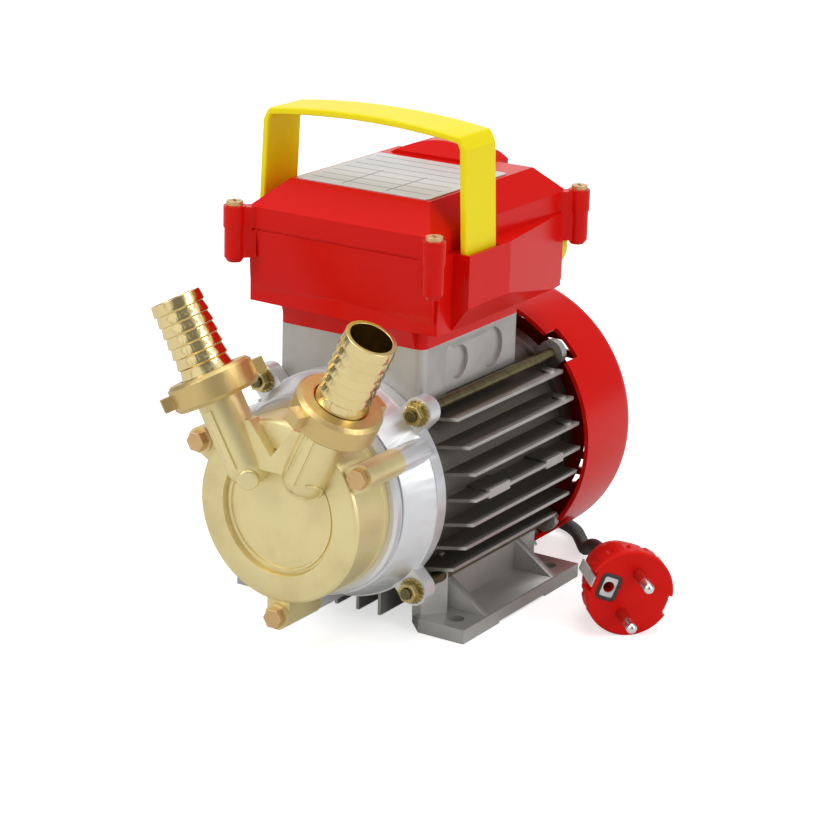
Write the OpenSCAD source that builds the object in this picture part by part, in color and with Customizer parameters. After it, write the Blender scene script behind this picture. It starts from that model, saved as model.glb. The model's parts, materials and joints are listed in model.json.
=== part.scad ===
// Self-priming transfer pump: finned motor, brass pump head, terminal box and mains cord.
// X is to the right seen from the pump end, Y runs from the pump end to the fan, Z is up.
// The origin is the centre of the foot bolt pattern, on the floor.

/* [Feet] */
// Height of the shaft line over the floor
shaft_z = 63; // [63:0.5:66]
// Foot bolt spacing across the motor
bolt_span_x = 100; // [97:0.5:102]
// Foot bolt spacing along the motor
bolt_span_y = 80; // [78:0.5:82]
// Foot bolt hole diameter
bolt_hole_d = 7; // [5.5:0.5:8]
// Foot width, floor edge to floor edge
foot_span = 120; // [119:0.5:124]
// Foot length
foot_l = 100; // [99:0.5:102]
// Foot plate thickness
foot_t = 6.5; // [6:0.25:8]

/* [Barrel] */
// Outer radius of the barrel
barrel_r = 48; // [47.5:0.25:48.5]
// Bore radius of the barrel
bore_r = 44.5; // [44:0.25:45]
// Barrel length ahead of the origin
barrel_fore = 52.5; // [52.5:0.5:54]
// Barrel length behind the origin
barrel_aft = 50; // [50:0.5:52]
// Radius that the fin tips reach
fin_tip_r = 59.5; // [57:0.5:60]
// Fin thickness
fin_t = 1.5; // [1.5:0.25:2.5]
// Fin spacing
fin_pitch = 11.3; // [11:0.1:11.5]
// Fins above and below the middle one
fin_pairs = 3; // [2:1:3]
// Height of the lowest fin tips over the floor
fin_floor = 3.5; // [2:0.5:5]

/* [Pedestal] */
// Pedestal width
pedestal_w = 74; // [70:1:74]
// Pedestal reach ahead of the origin
pedestal_fore = 52.3; // [50:0.5:52.3]
// Pedestal reach behind the origin
pedestal_aft = 27.2; // [26:0.5:30]
// Height of the pedestal top over the shaft line
pedestal_h = 64.5; // [64:0.5:67]
// Width of the pedestal neck
neck_w = 66; // [64:1:68]
// Pedestal wall
pedestal_wall = 4; // [3:0.5:5]
// Width of the larger knock-out
knockout_d = 18; // [14:1:19]

/* [Tie rods and shields] */
// Tie rod diameter
rod_d = 5; // [4:0.5:5]
// Radius of the tie rod circle
rod_circle_r = 56.1; // [56:0.1:57]
// Half width of the ears
ear_r = 6.8; // [6:0.2:7]
// Flange rim radius
rim_r = 50.6; // [50:0.2:51.5]
// Flange rim length
rim_l = 6.5; // [6:0.5:8]
// Bell length
bell_l = 16.5; // [16:0.5:18]
// Bell radius at the front
bell_r = 44.5; // [44:0.25:45]
// Front ring radius
ring_r = 43.7; // [42:0.25:44]
// Front ring length
ring_l = 5.1; // [4:0.1:6]

/* [Pump] */
// Back plate thickness
backplate_t = 3.4; // [3:0.1:4.5]
// Cover radius
cover_r = 40; // [39.5:0.25:41]
// Cover depth
cover_t = 20.5; // [20:0.5:23]
// Impeller chamber radius
chamber_r = 33; // [32.5:0.25:33.5]
// Impeller chamber depth
chamber_l = 14; // [13:0.5:14.5]
// Radius of the cover bolt circle
cover_bolt_circle_r = 46.9; // [46.5:0.1:47.5]
// Cover boss radius
cover_boss_r = 5.8; // [5.5:0.1:6]
// Cover bolt diameter
cover_bolt_d = 5; // [4:0.5:5]
// Tilt of each port from upright
port_tilt = 27.2; // [26:0.2:28]
// Forward lean of each port
port_lean = 4; // [2:0.5:5]
// Port pipe radius
port_r = 9.8; // [9.5:0.1:10.2]
// Port bore radius
port_bore_r = 7.5; // [6.5:0.25:7.5]
// Length of the bare port pipe
port_l = 29.5; // [29:0.5:31]
// Number of impeller blades
blade_n = 20; // [16:1:22]

/* [Hose tails and union nuts] */
// Length of the hose tail above the nut
tail_l = 33.5; // [33.5:0.5:36]
// Hose tail ridge radius
tail_r = 11.4; // [11.2:0.1:11.6]
// Hose tail bore radius
tail_bore_r = 9; // [8:0.25:9.25]
// Ridges on each hose tail
ridge_n = 7; // [5:1:7]
// Union nut height
nut_h = 12; // [12:0.5:13]
// Union nut radius
nut_r = 18.7; // [18:0.1:19]
// Radius that the nut lugs reach
lug_reach = 23; // [22:0.5:24]

/* [Fan and cowl] */
// Cowl outer radius
cowl_r = 62.7; // [62.4:0.1:62.8]
// Cowl wall
cowl_wall = 2; // [1.8:0.1:2.2]
// Cowl length
cowl_l = 43.6; // [43:0.2:46]
// Gap between the fan blades and the cowl
fan_gap = 6.7; // [5:0.1:10]
// Fan width
fan_w = 16; // [12:1:16]
// Fan blades
fan_n = 7; // [5:1:9]

/* [Terminal box] */
// Box width at the lid
box_w = 92.6; // [92:0.2:93]
// Box reach ahead of the origin
box_fore = 63.4; // [62:0.2:64]
// Box reach behind the origin
box_aft = 48.8; // [48.6:0.2:50]
// Height of the skirt that stands on the pedestal
skirt_h = 9.5; // [9:0.25:11]
// Height of the wide part under the lid
box_h = 33.4; // [33:0.2:35]
// Box wall
box_wall = 2.8; // [2.4:0.1:3]
// Width over the strap pockets
pocket_span = 111; // [111:0.5:113]
// Lid rim height
lid_rim_h = 9.1; // [8.5:0.1:10]
// Height of the lid facets
lid_facet_h = 10.8; // [10:0.1:12]
// Lid wall
lid_wall = 2.5; // [2:0.1:3]

/* [Handle and knob] */
// Width of the strap handle
strap_w = 24.5; // [22:0.5:24.5]
// Thickness of the strap
strap_t = 3; // [2.6:0.1:3.2]
// Height of the strap over the lid rim
strap_h = 42.5; // [42:0.5:48]
// Knob radius
knob_r = 11.5; // [10.5:0.5:11.5]
// Knob length
knob_l = 9.7; // [9:0.1:12]

/* [Cord and plug] */
// Cord diameter
cord_d = 6.5; // [6:0.1:6.5]
// Plug face radius
plug_r = 19.5; // [19:0.25:20]
// Plug body length
plug_l = 36; // [34:0.5:38]
// Distance between the plug pins
pin_pitch = 19; // [18.5:0.25:19.5]
// Pin diameter
pin_d = 4.8; // [4:0.2:4.8]
// Pin length
pin_l = 19; // [18:0.5:20]

/* [Hidden] */

// overrun of a cut past the face that it opens
over = 1;
// gap between round faces that seat on each other
seat = 0.05;
// gap between pieces that move past each other
run = 0.1;

// places along the shaft line
flange_y = -barrel_fore;
rim_y = flange_y - rim_l;
bell_y = rim_y - bell_l;
ring_y = bell_y - ring_l;
plate_y = ring_y - backplate_t;
cover_y = plate_y - cover_t;
chamber_y = plate_y - chamber_l;

// barrel, fins and their pads
fin_root = 1;
fin_fore_gap = 2;
fin_y0 = -barrel_fore + fin_fore_gap;
fin_web_run = 8.5;
fin_y1 = fin_y0 + fin_web_run;
fin_aft_gap = 2.5;
fin_back = barrel_aft - fin_aft_gap;
floor_fin_aft_gap = 4;
floor_fin_back = barrel_aft - floor_fin_aft_gap;
pad_h = 4;
pad_l = [17, 15];
pad_y = [-31.5, 17];
pin_mark_r = 3;
pin_mark_h = 1;
pin_mark_inset = 4;
pin_mark_aft_gap = 9;
pin_mark_y = barrel_aft - pin_mark_aft_gap;

// pedestal
pedestal_base = 41;
pedestal_z = shaft_z + pedestal_base;
pedestal_top = shaft_z + pedestal_h;
pedestal_round = 4;
pedestal_floor_t = 2;
pedestal_floor = shaft_z + barrel_r + pedestal_floor_t;
lead_hole_r = 9;
lead_x = -14;
lead_y = -37.5;
post_r = 4.5;
post_inset_x = 8;
post_inset_y = 8;
box_screw_d = 4;
box_screw_l = 14;
knockout_depth = 1.8;
knockout_small_d = 15;
knockout_y = [-22, 5.5];
knockout_drop = 11.8;
knockout_z = pedestal_top - knockout_drop;
panel_depth = 1;
panel_fore = 18;
panel_drop = 4;

// feet
foot_in = 28.4;
foot_chamfer = 8.5;
foot_wall_x = 39.3;
foot_wall_t = 5.3;
foot_wall_top = shaft_z - fin_pairs * fin_pitch - fin_t / 2 - seat;
foot_wall_fore = 30;
foot_wall_aft = 45;
foot_nose = [[42.9, -36.3], [35.7, -46], [31, -46]];
gusset_y = 29;
gusset_t = 4;
gusset_rise = 13.5;
foot_pad = 6.5;
relief_h = 1;
relief_fore = 20;
relief_aft = 20;
foot_screw_x = 33.5;
foot_screw_d = 5;
foot_screw_head_r = 4.25;
foot_screw_head_h = 5;
foot_screw_top = 30.5;
foot_screw_sink = 1.5;

// tie rods, their nuts and washers
ear_out = 1;
ear_fore = rim_y - ear_out;
ear_aft_gap = 1.5;
ear_aft_y = barrel_aft + ear_aft_gap;
ear_aft_t = 4;
rod_head_h = 3;
rod_head_play = 0.9;
rod_gap = 0.4;
rod_nut_af = 8;
rod_nut_h = 4;
washer_t = 0.6;
washer_r = 5.6;
rod_end = 1.4;

// flange and rear shield
groove_w = 0.4;
groove_depth = 1.2;
spigot_l = 3.5;
spigot_wall = 3.4;
web_sink = 5.5;
web_y = bell_y + web_sink;
web_t = 6;
hub_r = 21.5;
bearing_r = 17.5;
bearing_in_r = 7.5;
bearing_w = 11;
lip_r = 11;
lip_t = 1.8;
seal_pocket_r = 13.4;
hub_l = 0.7;
pocket_r = 38;
shield_t = 7;
shield_hub_back = 3;
washer_gap = 0.9;
rear_bearing_sink = 5;
rear_bearing_y = barrel_aft - rear_bearing_sink;
cowl_lug_w = 10;
cowl_lug_angles = [90, 180, 300];
cowl_screw_d = 4;
cowl_screw_head_r = 3.6;
cowl_screw_head_h = 2;
cowl_screw_in = 8;

// shaft, rotor and stator
shaft_mid_r = 9;
shaft_end_r = 6;
core_half = 28;
air_gap = 0.5;
rotor_r = 27.7;
end_ring_l = 6;
end_ring_w = 7;
slot_n = 24;
slot_w = 3.6;
slot_l = 9;
tooth_tip = 1.5;
winding_reach = 13;
winding_in = 1.2;
lead_r = 1.5;

// bearings
ball_r = 3;
ball_circle_r = 12.5;
ball_n = 8;
race_gap = 1.9;

// seal
seat_in_r = 7;
seat_t = 4.4;
head_in_r = 6.05;
head_r = 12;
head_l = 5.6;

// pump head
plate_bore_r = 9.5;
plate_out = 0.3;
o_ring_r = 1.2;
o_ring_circle_r = 36;
recess_r = 28;
recess_depth = 2.5;
recess_draft = 0.8;
rim_line_r = 26;
rim_line_w = 1;
rim_line_h = 0.8;
rim_line_draft = 0.3;
saddle_reach = 21;
saddle_in_x = 11;
saddle_top = 39.5;
saddle_notch = 25.8;
saddle_proud = 5;
saddle_sink = 2;
cover_round = 2;
bolt_head_af = 8;
bolt_head_h = 3.5;
boss_front = 0.5;
boss_rise = 3.1;
boss_back = bell_y - boss_rise;
flange_boss_r = 5.5;
flange_boss_l = 20;
impeller_gap = 0.4;
impeller_hub_r = 21;
blade_w = 2.6;
impeller_bore_r = shaft_end_r + seat;
key_w = 3;
key_l = 10;
key_h = 4.6;
port_x = 14.7;
port_y_out = 0.6;
port_up = 19.2;
elbow_r = 6.5;
arrow_w = 3;
arrow_h = 0.8;

// union nut and hose tail, along the port
thread_r = 13.1;
thread_start = 1;
gasket_t = 1.2;
collar_t = 1.8;
lip_t2 = 1.4;
nut_bore_r = 13.3;
nut_top_r = 12;
nut_chamfer = 1.6;
lug_w = 7;
lug_h = 6;
lug_turn_left = 135;
lug_turn_right = 73;
tail_neck_r = 10.4;
mouth_r = 10.9;
tail_collar_r = 13;

// front face of the front bearing
bearing_sink = 2.7;
seal_front = web_y + 2 * seat + bearing_sink;
impeller_y = chamber_y + impeller_gap;
recess_y = cover_y + recess_depth;

// outer radius of the windings
winding_r = rotor_r + air_gap + tooth_tip + slot_l - winding_in / 2;

// fan, clip and cowl
fan_stand_off = 14;
fan_y = barrel_aft + fan_stand_off;
fan_hub_r = 12;
fan_disc_in = 2;
fan_disc_t = 2;
fan_blade_t = 1.8;
fan_blade_inset = 3;
clip_y = fan_y + fan_w;
clip_t = 1;
clip_r = 8.5;
clip_depth = 1;
clip_gap = 4;
shaft_tail = 2;
shaft_back = clip_y + clip_t + shaft_tail;
cowl_lap = 1;
cowl_y = barrel_aft - cowl_lap;
cowl_in_r = cowl_r - cowl_wall;
fan_r = cowl_in_r - fan_gap;
fan_disc_r = fan_r - fan_disc_in;
shield_share = 0.8336;
shield_r = cowl_in_r * shield_share;
cowl_bend = 7.6;
cowl_side_back = cowl_y + cowl_l - cowl_bend;
cowl_bend_in = 5.4;
cowl_back_r = cowl_r - cowl_bend_in;
ear_notch_l = 10;
ear_notch_w = 16;
grille_margin = 9.3;
grille_r = cowl_back_r - grille_margin;
grille_slot = 4.5;
grille_pitch = 8;
grille_n = 5;

// terminal box and lid
skirt_z = pedestal_top;
wide_z = skirt_z + skirt_h;
rim_z = wide_z + box_h;
lid_z = rim_z + lid_rim_h;
lid_top = lid_z + lid_facet_h;
skirt_round = 4;
skirt_floor = 2.5;
box_round = 3;
box_nose = 2.9;
box_nose_rise = 8;
seam_w = 1;
seam_depth = 0.7;
pocket_start = 11;
pocket_fore = 48;
pocket_flat = 33;
pocket_flare = 1.2;
slot_wall = 1.3;
slot_width = 5;
slot_out_x = pocket_span / 2 - slot_wall;
slot_in_x = slot_out_x - slot_width;
slot_rise = 23.5;
slot_floor = skirt_z + slot_rise;
slot_play = 0.3;
pillar_inset = 5.5;
pillar_x = pocket_span / 2 - pillar_inset;
pillar_out = 3.9;
pillar_r = 4.4;
pillar_len = 13;
pillar_tip = 2;
pillar_tip_r = 3;
pillar_web = 6;
pillar_web_in = 3.57;
pillar_web_reach = (pillar_x - box_w / 2) / sin(45) + pillar_web_in;
lid_boss_r = 4.85;
lid_boss_h = 9.5;
lid_screw_d = 4;
lid_screw_head_r = 3.6;
lid_screw_head_h = 2;
lid_screw_l = 20;
gasket_strip = 1.2;
gasket_groove = 1;
grommet_t = 1;
lid_in_x = 0.8;
plateau_x = 35;
plateau_fore = 47.6;
plateau_aft = 37;
hump_x = -7;
hump_half = 24;
hump_h = 7;
hump_fore = 24;
hump_aft = 46;
hump_slope = 7;
plate_half = 33.4;
plate_margin = 1;
plate_fore = plateau_fore - plate_margin;
plate_aft = 18;
rating_t = 0.5;
plate_round = 2;

// handle
strap_fore = 46.5;
strap_play = 0.7;
strap_lean = 3;
strap_foot_x = slot_out_x - strap_play;
strap_shoulder_x = strap_foot_x - strap_lean;
strap_arch = 3.5;
strap_shoulder_z = lid_z + strap_h - strap_arch;
strap_corner = 5;

// inside the box
cap_r = 14;
cap_l = 70;
cap_x = -22;
cap_y = -45;
cap_z = wide_z + box_wall + cap_r;
block_w = 22;
block_l = 18;
block_h = 12;
block_x = 12;
block_y = -46;
stud_r = 2;
stud_h = 7;
stud_pitch = 7;
stud_nut_af = 5.5;
lead_pitch = 3.4;
lead_rise = 7;
switch_in = 14.1;
switch_x = box_w / 2 - switch_in;
switch_rise = 25;
switch_z = skirt_z + switch_rise;
switch_w = 15;
switch_h = 20;
switch_l = 18;
spindle_r = 3;
spindle_in = 8;
bush_r = 6;
knob_bar_w = 5;
knob_bar_h = 4;
knob_gap = 1.2;
gland_x = -20;
gland_rise = 22.5;
gland_z = skirt_z + gland_rise;
gland_r = 6;
gland_af = 17;
gland_af_l = 6;
gland_l = 31.2;
gland_tip_r = 4.6;
gland_nut_t = 4;
gland_in = 6;

// plug, lying on its side on the floor
plug_x = 112.5;
plug_y = 1;
plug_z = plug_r;
plug_swing = 42.8;
plug_roll = 20.2;
plug_rim_l = 9;
plug_neck_r = 16.6;
plug_tail_r = 6.5;
plug_relief_l = 11;
plug_relief_r = 4.6;
grip_n = 16;
grip_r = 1.6;
clip_notch_w = 9;
clip_notch_depth = 2.4;
clip_notch_l = 26;
earth_w = 5;
earth_t = 0.8;
earth_l = 22;
earth_plate_x = 10.3;
earth_plate_w = 7;
earth_plate_h = 9;
earth_plate_t = 1;
earth_hole_r = 2.5;
earth_hole_l = 17;
pin_in = 6;

// cord: route of the drop, of the coil and of the lead to the plug
cord_r = cord_d / 2;
cord_sides = 8;
drop_route = [[-20, 80, 150], [-20, 87, 150], [-20, 98, 147], [-20, 109, 140], [-20, 117, 129],
    [-20, 121, 115], [-20, 122, 98], [-20, 122, 80], [-20, 122, 62], [-20, 122, 46], [-19, 123, 33],
    [-18, 126, 21], [-18, 131, 11.5], [-18, 138, 5.5], [-18, 145, 3.25], [-18, 151.5, 3.25]];
lead_route = [[-54, 112.6, 10.2], [-40, 110.5, 10.2], [-27, 108.6, 8.2], [-14, 107, 5.2], [-2, 105.7, 3.5],
    [10, 104, 3.25], [22, 101, 3.25], [33, 95, 3.25], [42, 85, 3.25], [50, 74, 4.8], [57.5, 63, 9.5],
    [66, 52, 16]];
coil_x = -60;
coil_y = 158;
coil_z = 3.25;
coil_r = 42;
coil_step = 7.2;
coil_rise = 6.95;
coil_in_turns = 2;
coil_out_turns = 2.222;
coil_rings = 24;
coil_sides = 6;

// 2D outline in X and Z, drawn out along Y from y0 to y1
module slab_y(y0, y1) {
    translate([0, y1, 0]) rotate([90, 0, 0]) linear_extrude(y1 - y0) children();
}

// 2D outline in Y and Z, drawn out along X from x0 to x1
module slab_x(x0, x1) {
    translate([x0, 0, 0]) rotate([90, 0, 90]) linear_extrude(x1 - x0) children();
}

// solid turned about the shaft line from points [radius, y]
module lathe(points) {
    translate([0, 0, shaft_z]) rotate([-90, 0, 0]) rotate_extrude($fn = 96) polygon(points);
}

// round bar along Y at x, z
module bar_y(x, z, r, y0, y1) {
    translate([x, y1, z]) rotate([90, 0, 0]) cylinder(r = r, h = y1 - y0, $fn = 48);
}

// place something at a radius and angle round the shaft line
module round_shaft(r, angle) {
    translate([r * cos(angle), 0, shaft_z + r * sin(angle)]) children();
}

// rectangle with true round corners, from one corner to the other
module round_rect(x0, y0, x1, y1, r) {
    translate([x0 + r, y0]) square([x1 - x0 - 2 * r, y1 - y0]);
    translate([x0, y0 + r]) square([x1 - x0, y1 - y0 - 2 * r]);
    for (x = [x0 + r, x1 - r], y = [y0 + r, y1 - r]) translate([x, y]) circle(r = r, $fn = 48);
}

// hexagon across flats
module hexagon(af) circle(r = af / sqrt(3), $fn = 6);

// barrel surface beside the shaft line, at an offset from it
function beside(r, offset) = sqrt(r * r - offset * offset);

module fin_side() {
    for (k = [-fin_pairs : fin_pairs]) {
        z = k * fin_pitch;
        root = beside(barrel_r, abs(z) + fin_t / 2) - fin_root;
        tip = beside(fin_tip_r, z);
        translate([0, 0, shaft_z + z - fin_t / 2]) linear_extrude(fin_t)
            polygon([[root, fin_y0], [tip, fin_y1], [tip, fin_back], [root, fin_back]]);
        if (k > 0) translate([tip - pin_mark_inset, pin_mark_y, shaft_z + z - fin_t / 2])
            cylinder(r = pin_mark_r, h = fin_t + pin_mark_h, $fn = 32);
    }
    for (i = [0, 1]) translate([beside(barrel_r, pad_h / 2) - fin_root, pad_y[i], shaft_z - pad_h / 2])
        cube([fin_tip_r - beside(barrel_r, pad_h / 2) + fin_root, pad_l[i], pad_h]);
}

module floor_fins() {
    for (s = [-1, 1], k = [0.5, 1.5]) {
        x = k * fin_pitch;
        top = shaft_z - beside(barrel_r, x + fin_t / 2) + fin_root;
        translate([s * x - fin_t / 2, fin_y0, fin_floor]) cube([fin_t, floor_fin_back - fin_y0,
            top - fin_floor]);
    }
}

module pedestal_posts(r, z0, z1) {
    for (x = [-1, 1], y = [-pedestal_fore + post_inset_y, pedestal_aft - post_inset_y])
        translate([x * (pedestal_w / 2 - post_inset_x), y, z0]) cylinder(r = r, h = z1 - z0, $fn = 32);
}

module motor_housing() color([0.64, 0.64, 0.6]) difference() {
    union() {
        lathe([[0, flange_y], [barrel_r, flange_y], [barrel_r, barrel_aft], [0, barrel_aft]]);
        fin_side();
        mirror([1, 0, 0]) fin_side();
        floor_fins();
        translate([0, 0, pedestal_z]) linear_extrude(pedestal_top - pedestal_z)
            round_rect(-pedestal_w / 2, -pedestal_fore, pedestal_w / 2, pedestal_aft, pedestal_round);
        translate([0, 0, shaft_z]) linear_extrude(pedestal_z - shaft_z)
            round_rect(-neck_w / 2, -pedestal_fore, neck_w / 2, pedestal_aft - pedestal_wall / 2,
                pedestal_round);
    }
    lathe([[0, flange_y - over], [bore_r, flange_y - over], [bore_r, barrel_aft + over], [0,
        barrel_aft + over]]);
    difference() {
        translate([0, 0, pedestal_floor]) linear_extrude(pedestal_top - pedestal_floor + over)
            round_rect(-neck_w / 2 + pedestal_wall, -pedestal_fore + pedestal_wall,
                neck_w / 2 - pedestal_wall, pedestal_aft - pedestal_wall, pedestal_round);
        pedestal_posts(post_r, pedestal_floor - over, pedestal_top + 2 * over);
    }
    pedestal_posts(box_screw_d / 2, pedestal_top - box_screw_l, pedestal_top + over);
    at_rods() bar_y(0, 0, rod_d / 2 + rod_gap, flange_y - over, barrel_aft + over);
    translate([lead_x, lead_y, shaft_z]) cylinder(r = lead_hole_r, h = pedestal_h, $fn = 48);
    for (s = [-1, 1]) {
        translate([s * pedestal_w / 2, knockout_y[0], knockout_z]) rotate([0, 90, 0])
            cylinder(d = knockout_small_d, h = 2 * (knockout_depth + panel_depth), center = true, $fn = 48);
        translate([s * pedestal_w / 2, knockout_y[1], knockout_z]) rotate([0, 90, 0])
            cylinder(d = knockout_d, h = 2 * (knockout_depth + panel_depth), center = true, $fn = 48);
        translate([s * pedestal_w / 2 - panel_depth, 0, 0]) slab_x(0, 2 * panel_depth)
            round_rect(-pedestal_fore + panel_fore, pedestal_z - over, pedestal_aft + over + pedestal_round,
                pedestal_top - panel_drop + pedestal_round / 2, pedestal_round);
    }
    for (s = [-1, 1], y = [-gusset_y, gusset_y])
        translate([s * foot_screw_x, y, foot_wall_top - foot_pad]) cylinder(d = foot_screw_d + 2 * run,
            h = foot_screw_top + run - foot_wall_top + foot_pad, $fn = 32);
}

module foot() {
    difference() {
        union() {
            linear_extrude(foot_t) polygon([[foot_in, -foot_l / 2 + foot_chamfer],
                [foot_in + foot_chamfer, -foot_l / 2], [foot_span / 2, -foot_l / 2],
                [foot_span / 2, foot_l / 2], [foot_in, foot_l / 2]]);
            translate([0, 0, foot_t - over]) linear_extrude(foot_wall_top - foot_t + over) {
                translate([foot_wall_x - foot_wall_t, -foot_wall_fore])
                    square([foot_wall_t, foot_wall_fore + foot_wall_aft]);
                polygon(concat([[foot_wall_x, -foot_wall_fore]], foot_nose, [[foot_wall_x - foot_wall_t,
                    -foot_wall_fore]]));
            }
            for (y = [-gusset_y, gusset_y]) {
                slab_y(y - gusset_t / 2, y + gusset_t / 2) polygon([[foot_wall_x - over, foot_t - over],
                    [foot_span / 2 - over, foot_t - over], [foot_span / 2 - over, foot_t],
                    [foot_wall_x, foot_t + gusset_rise], [foot_wall_x - over, foot_t + gusset_rise]]);
                translate([foot_in, y - foot_pad, 0]) cube([foot_wall_x - foot_in, 2 * foot_pad,
                    foot_wall_top]);
            }
        }
        bar_y(0, shaft_z, barrel_r + seat, -foot_l, foot_l);
        bar_y(rod_circle_r * cos(45), shaft_z - rod_circle_r * sin(45), rod_d / 2 + 3 * run, -foot_l, foot_l);
        for (y = [-1, 1]) translate([bolt_span_x / 2, y * bolt_span_y / 2, -over])
            cylinder(d = bolt_hole_d, h = foot_t + 2 * over, $fn = 48);
        translate([0, -relief_fore, -over]) cube([foot_span, relief_fore + relief_aft, relief_h + over]);
        for (y = [-gusset_y, gusset_y]) translate([foot_screw_x, y, -over]) {
            cylinder(d = foot_screw_d + 2 * run, h = foot_wall_top + 2 * over, $fn = 32);
            cylinder(r = foot_screw_head_r + 2 * run, h = foot_screw_sink + foot_screw_head_h + over,
                $fn = 48);
        }
    }
}

module foot_right() color([0.64, 0.64, 0.6]) foot();

module foot_left() color([0.64, 0.64, 0.6]) mirror([1, 0, 0]) foot();

module foot_screws() color([0.75, 0.75, 0.77]) for (s = [-1, 1], y = [-gusset_y, gusset_y])
    translate([s * foot_screw_x, y, foot_screw_sink]) difference() {
        union() {
            cylinder(r = foot_screw_head_r, h = foot_screw_head_h, $fn = 48);
            cylinder(d = foot_screw_d, h = foot_screw_top - foot_screw_sink, $fn = 32);
        }
        translate([0, 0, -over]) linear_extrude(foot_screw_head_h / 2 + over) hexagon(foot_screw_d * 0.8);
    }

// one ear, drawn at its angle round the shaft line
module ear(angle, r, y0, y1) {
    translate([0, 0, shaft_z]) rotate([0, -angle, 0]) slab_y(y0, y1) {
        translate([rod_circle_r, 0]) circle(r = r, $fn = 48);
        translate([bore_r - spigot_wall, -r]) square([rod_circle_r - bore_r + spigot_wall, 2 * r]);
    }
}

// four places of the tie rods
module at_rods() for (angle = [45, 135, 225, 315]) round_shaft(rod_circle_r, angle) children();

// three places of the cover bolts
module at_cover_bolts() for (angle = [30, 150, 270]) round_shaft(cover_bolt_circle_r, angle) children();

module front_flange() color([0.86, 0.87, 0.88]) difference() {
    union() {
        lathe([[seal_pocket_r, ring_y], [hub_r, ring_y], [hub_r, web_y - groove_depth], [pocket_r,
            web_y - groove_depth],
            [pocket_r, ring_y], [ring_r - groove_depth, ring_y], [ring_r, ring_y + groove_depth],
            [ring_r, bell_y - groove_w], [bell_r - 2 * groove_depth, bell_y - groove_w],
            [bell_r - 2 * groove_depth, bell_y], [bell_r, bell_y], [rim_r - groove_depth / 2, rim_y],
            [rim_r, rim_y], [rim_r, flange_y], [bore_r - seat, flange_y], [bore_r - seat,
                flange_y + spigot_l],
            [bore_r - spigot_wall, flange_y + spigot_l], [bore_r - spigot_wall, web_y + web_t],
            [hub_r, web_y + web_t], [hub_r, seal_front + bearing_w + hub_l], [bearing_r + seat,
                seal_front + bearing_w + hub_l],
            [bearing_r + seat, seal_front], [lip_r, seal_front], [lip_r, seal_front - lip_t],
                [seal_pocket_r, seal_front - lip_t]]);
        for (angle = [45, 135, 225, 315]) ear(angle, ear_r, ear_fore, flange_y);
        at_cover_bolts() bar_y(0, 0, flange_boss_r, boss_back, boss_back + flange_boss_l);
    }
    at_rods() bar_y(0, 0, rod_d / 2 + run, ear_fore - over, flange_y + over);
    at_cover_bolts() bar_y(0, 0, cover_bolt_d / 2 + run, boss_back - over, boss_back + flange_boss_l - over);
    at_cover_bolts() bar_y(0, 0, cover_boss_r + run, ring_y - over, boss_back);
}

module rear_shield() color([0.72, 0.72, 0.7]) difference() {
    union() {
        lathe([[lip_r, rear_bearing_y + bearing_w + washer_gap], [bearing_r + seat,
            rear_bearing_y + bearing_w + washer_gap],
            [bearing_r + seat, rear_bearing_y - hub_l], [hub_r, rear_bearing_y - hub_l], [hub_r, barrel_aft],
            [bore_r - spigot_wall, barrel_aft], [bore_r - spigot_wall, barrel_aft - spigot_l],
            [bore_r - seat, barrel_aft - spigot_l], [bore_r - seat, barrel_aft], [shield_r, barrel_aft],
            [shield_r, barrel_aft + shield_t], [hub_r, barrel_aft + shield_t],
            [hub_r, barrel_aft + shield_t + shield_hub_back], [lip_r,
                barrel_aft + shield_t + shield_hub_back]]);
        for (angle = [45, 135, 225, 315]) ear(angle, ear_r - washer_t, ear_aft_y, ear_aft_y + ear_aft_t);
        for (angle = cowl_lug_angles) translate([0, 0, shaft_z]) rotate([0, -angle, 0])
            translate([bore_r - spigot_wall, barrel_aft, -cowl_lug_w / 2])
                cube([cowl_in_r - bore_r + spigot_wall - 2 * run, shield_t, cowl_lug_w]);
    }
    at_rods() {
        bar_y(0, 0, rod_d / 2 + run, barrel_aft - over, ear_aft_y + ear_aft_t + over);
        bar_y(0, 0, rod_nut_af / 2 + rod_head_play, ear_aft_y + ear_aft_t, barrel_aft + shield_t + over);
    }
    for (angle = cowl_lug_angles) translate([0, barrel_aft + shield_t / 2, shaft_z]) rotate([0, 90 - angle,
        0])
        translate([0, 0, cowl_r - cowl_screw_in - run]) cylinder(d = cowl_screw_d + 2 * run,
            h = cowl_screw_in + over, $fn = 32);
}

module tie_rods() color([0.6, 0.56, 0.36]) at_rods() {
    bar_y(0, 0, rod_d / 2, ear_fore - washer_t - rod_nut_h - rod_end, ear_aft_y + ear_aft_t);
    slab_y(ear_aft_y + ear_aft_t, ear_aft_y + ear_aft_t + rod_head_h) hexagon(rod_nut_af);
}

module tie_rod_nuts() color([0.6, 0.56, 0.36]) at_rods() slab_y(ear_fore - washer_t - rod_nut_h,
    ear_fore - washer_t)
    difference() {
        hexagon(rod_nut_af);
        circle(r = rod_d / 2 + seat, $fn = 48);
    }

module tie_rod_washers() color([0.6, 0.56, 0.36]) at_rods() slab_y(ear_fore - washer_t, ear_fore)
    difference() {
    circle(r = washer_r, $fn = 48);
    circle(r = rod_d / 2 + seat, $fn = 48);
}

module slots(r0, r1, w) for (k = [0 : slot_n - 1]) rotate([0, 0, k * 360 / slot_n])
    translate([r0, -w / 2]) square([r1 - r0, w]);

module stator_core() color([0.5, 0.5, 0.52]) slab_y(-core_half, core_half) translate([0, shaft_z])
    difference() {
    circle(r = bore_r - seat, $fn = 96);
    circle(r = rotor_r + air_gap, $fn = 96);
    slots(rotor_r + air_gap + tooth_tip, rotor_r + air_gap + tooth_tip + slot_l, slot_w);
}

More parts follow.
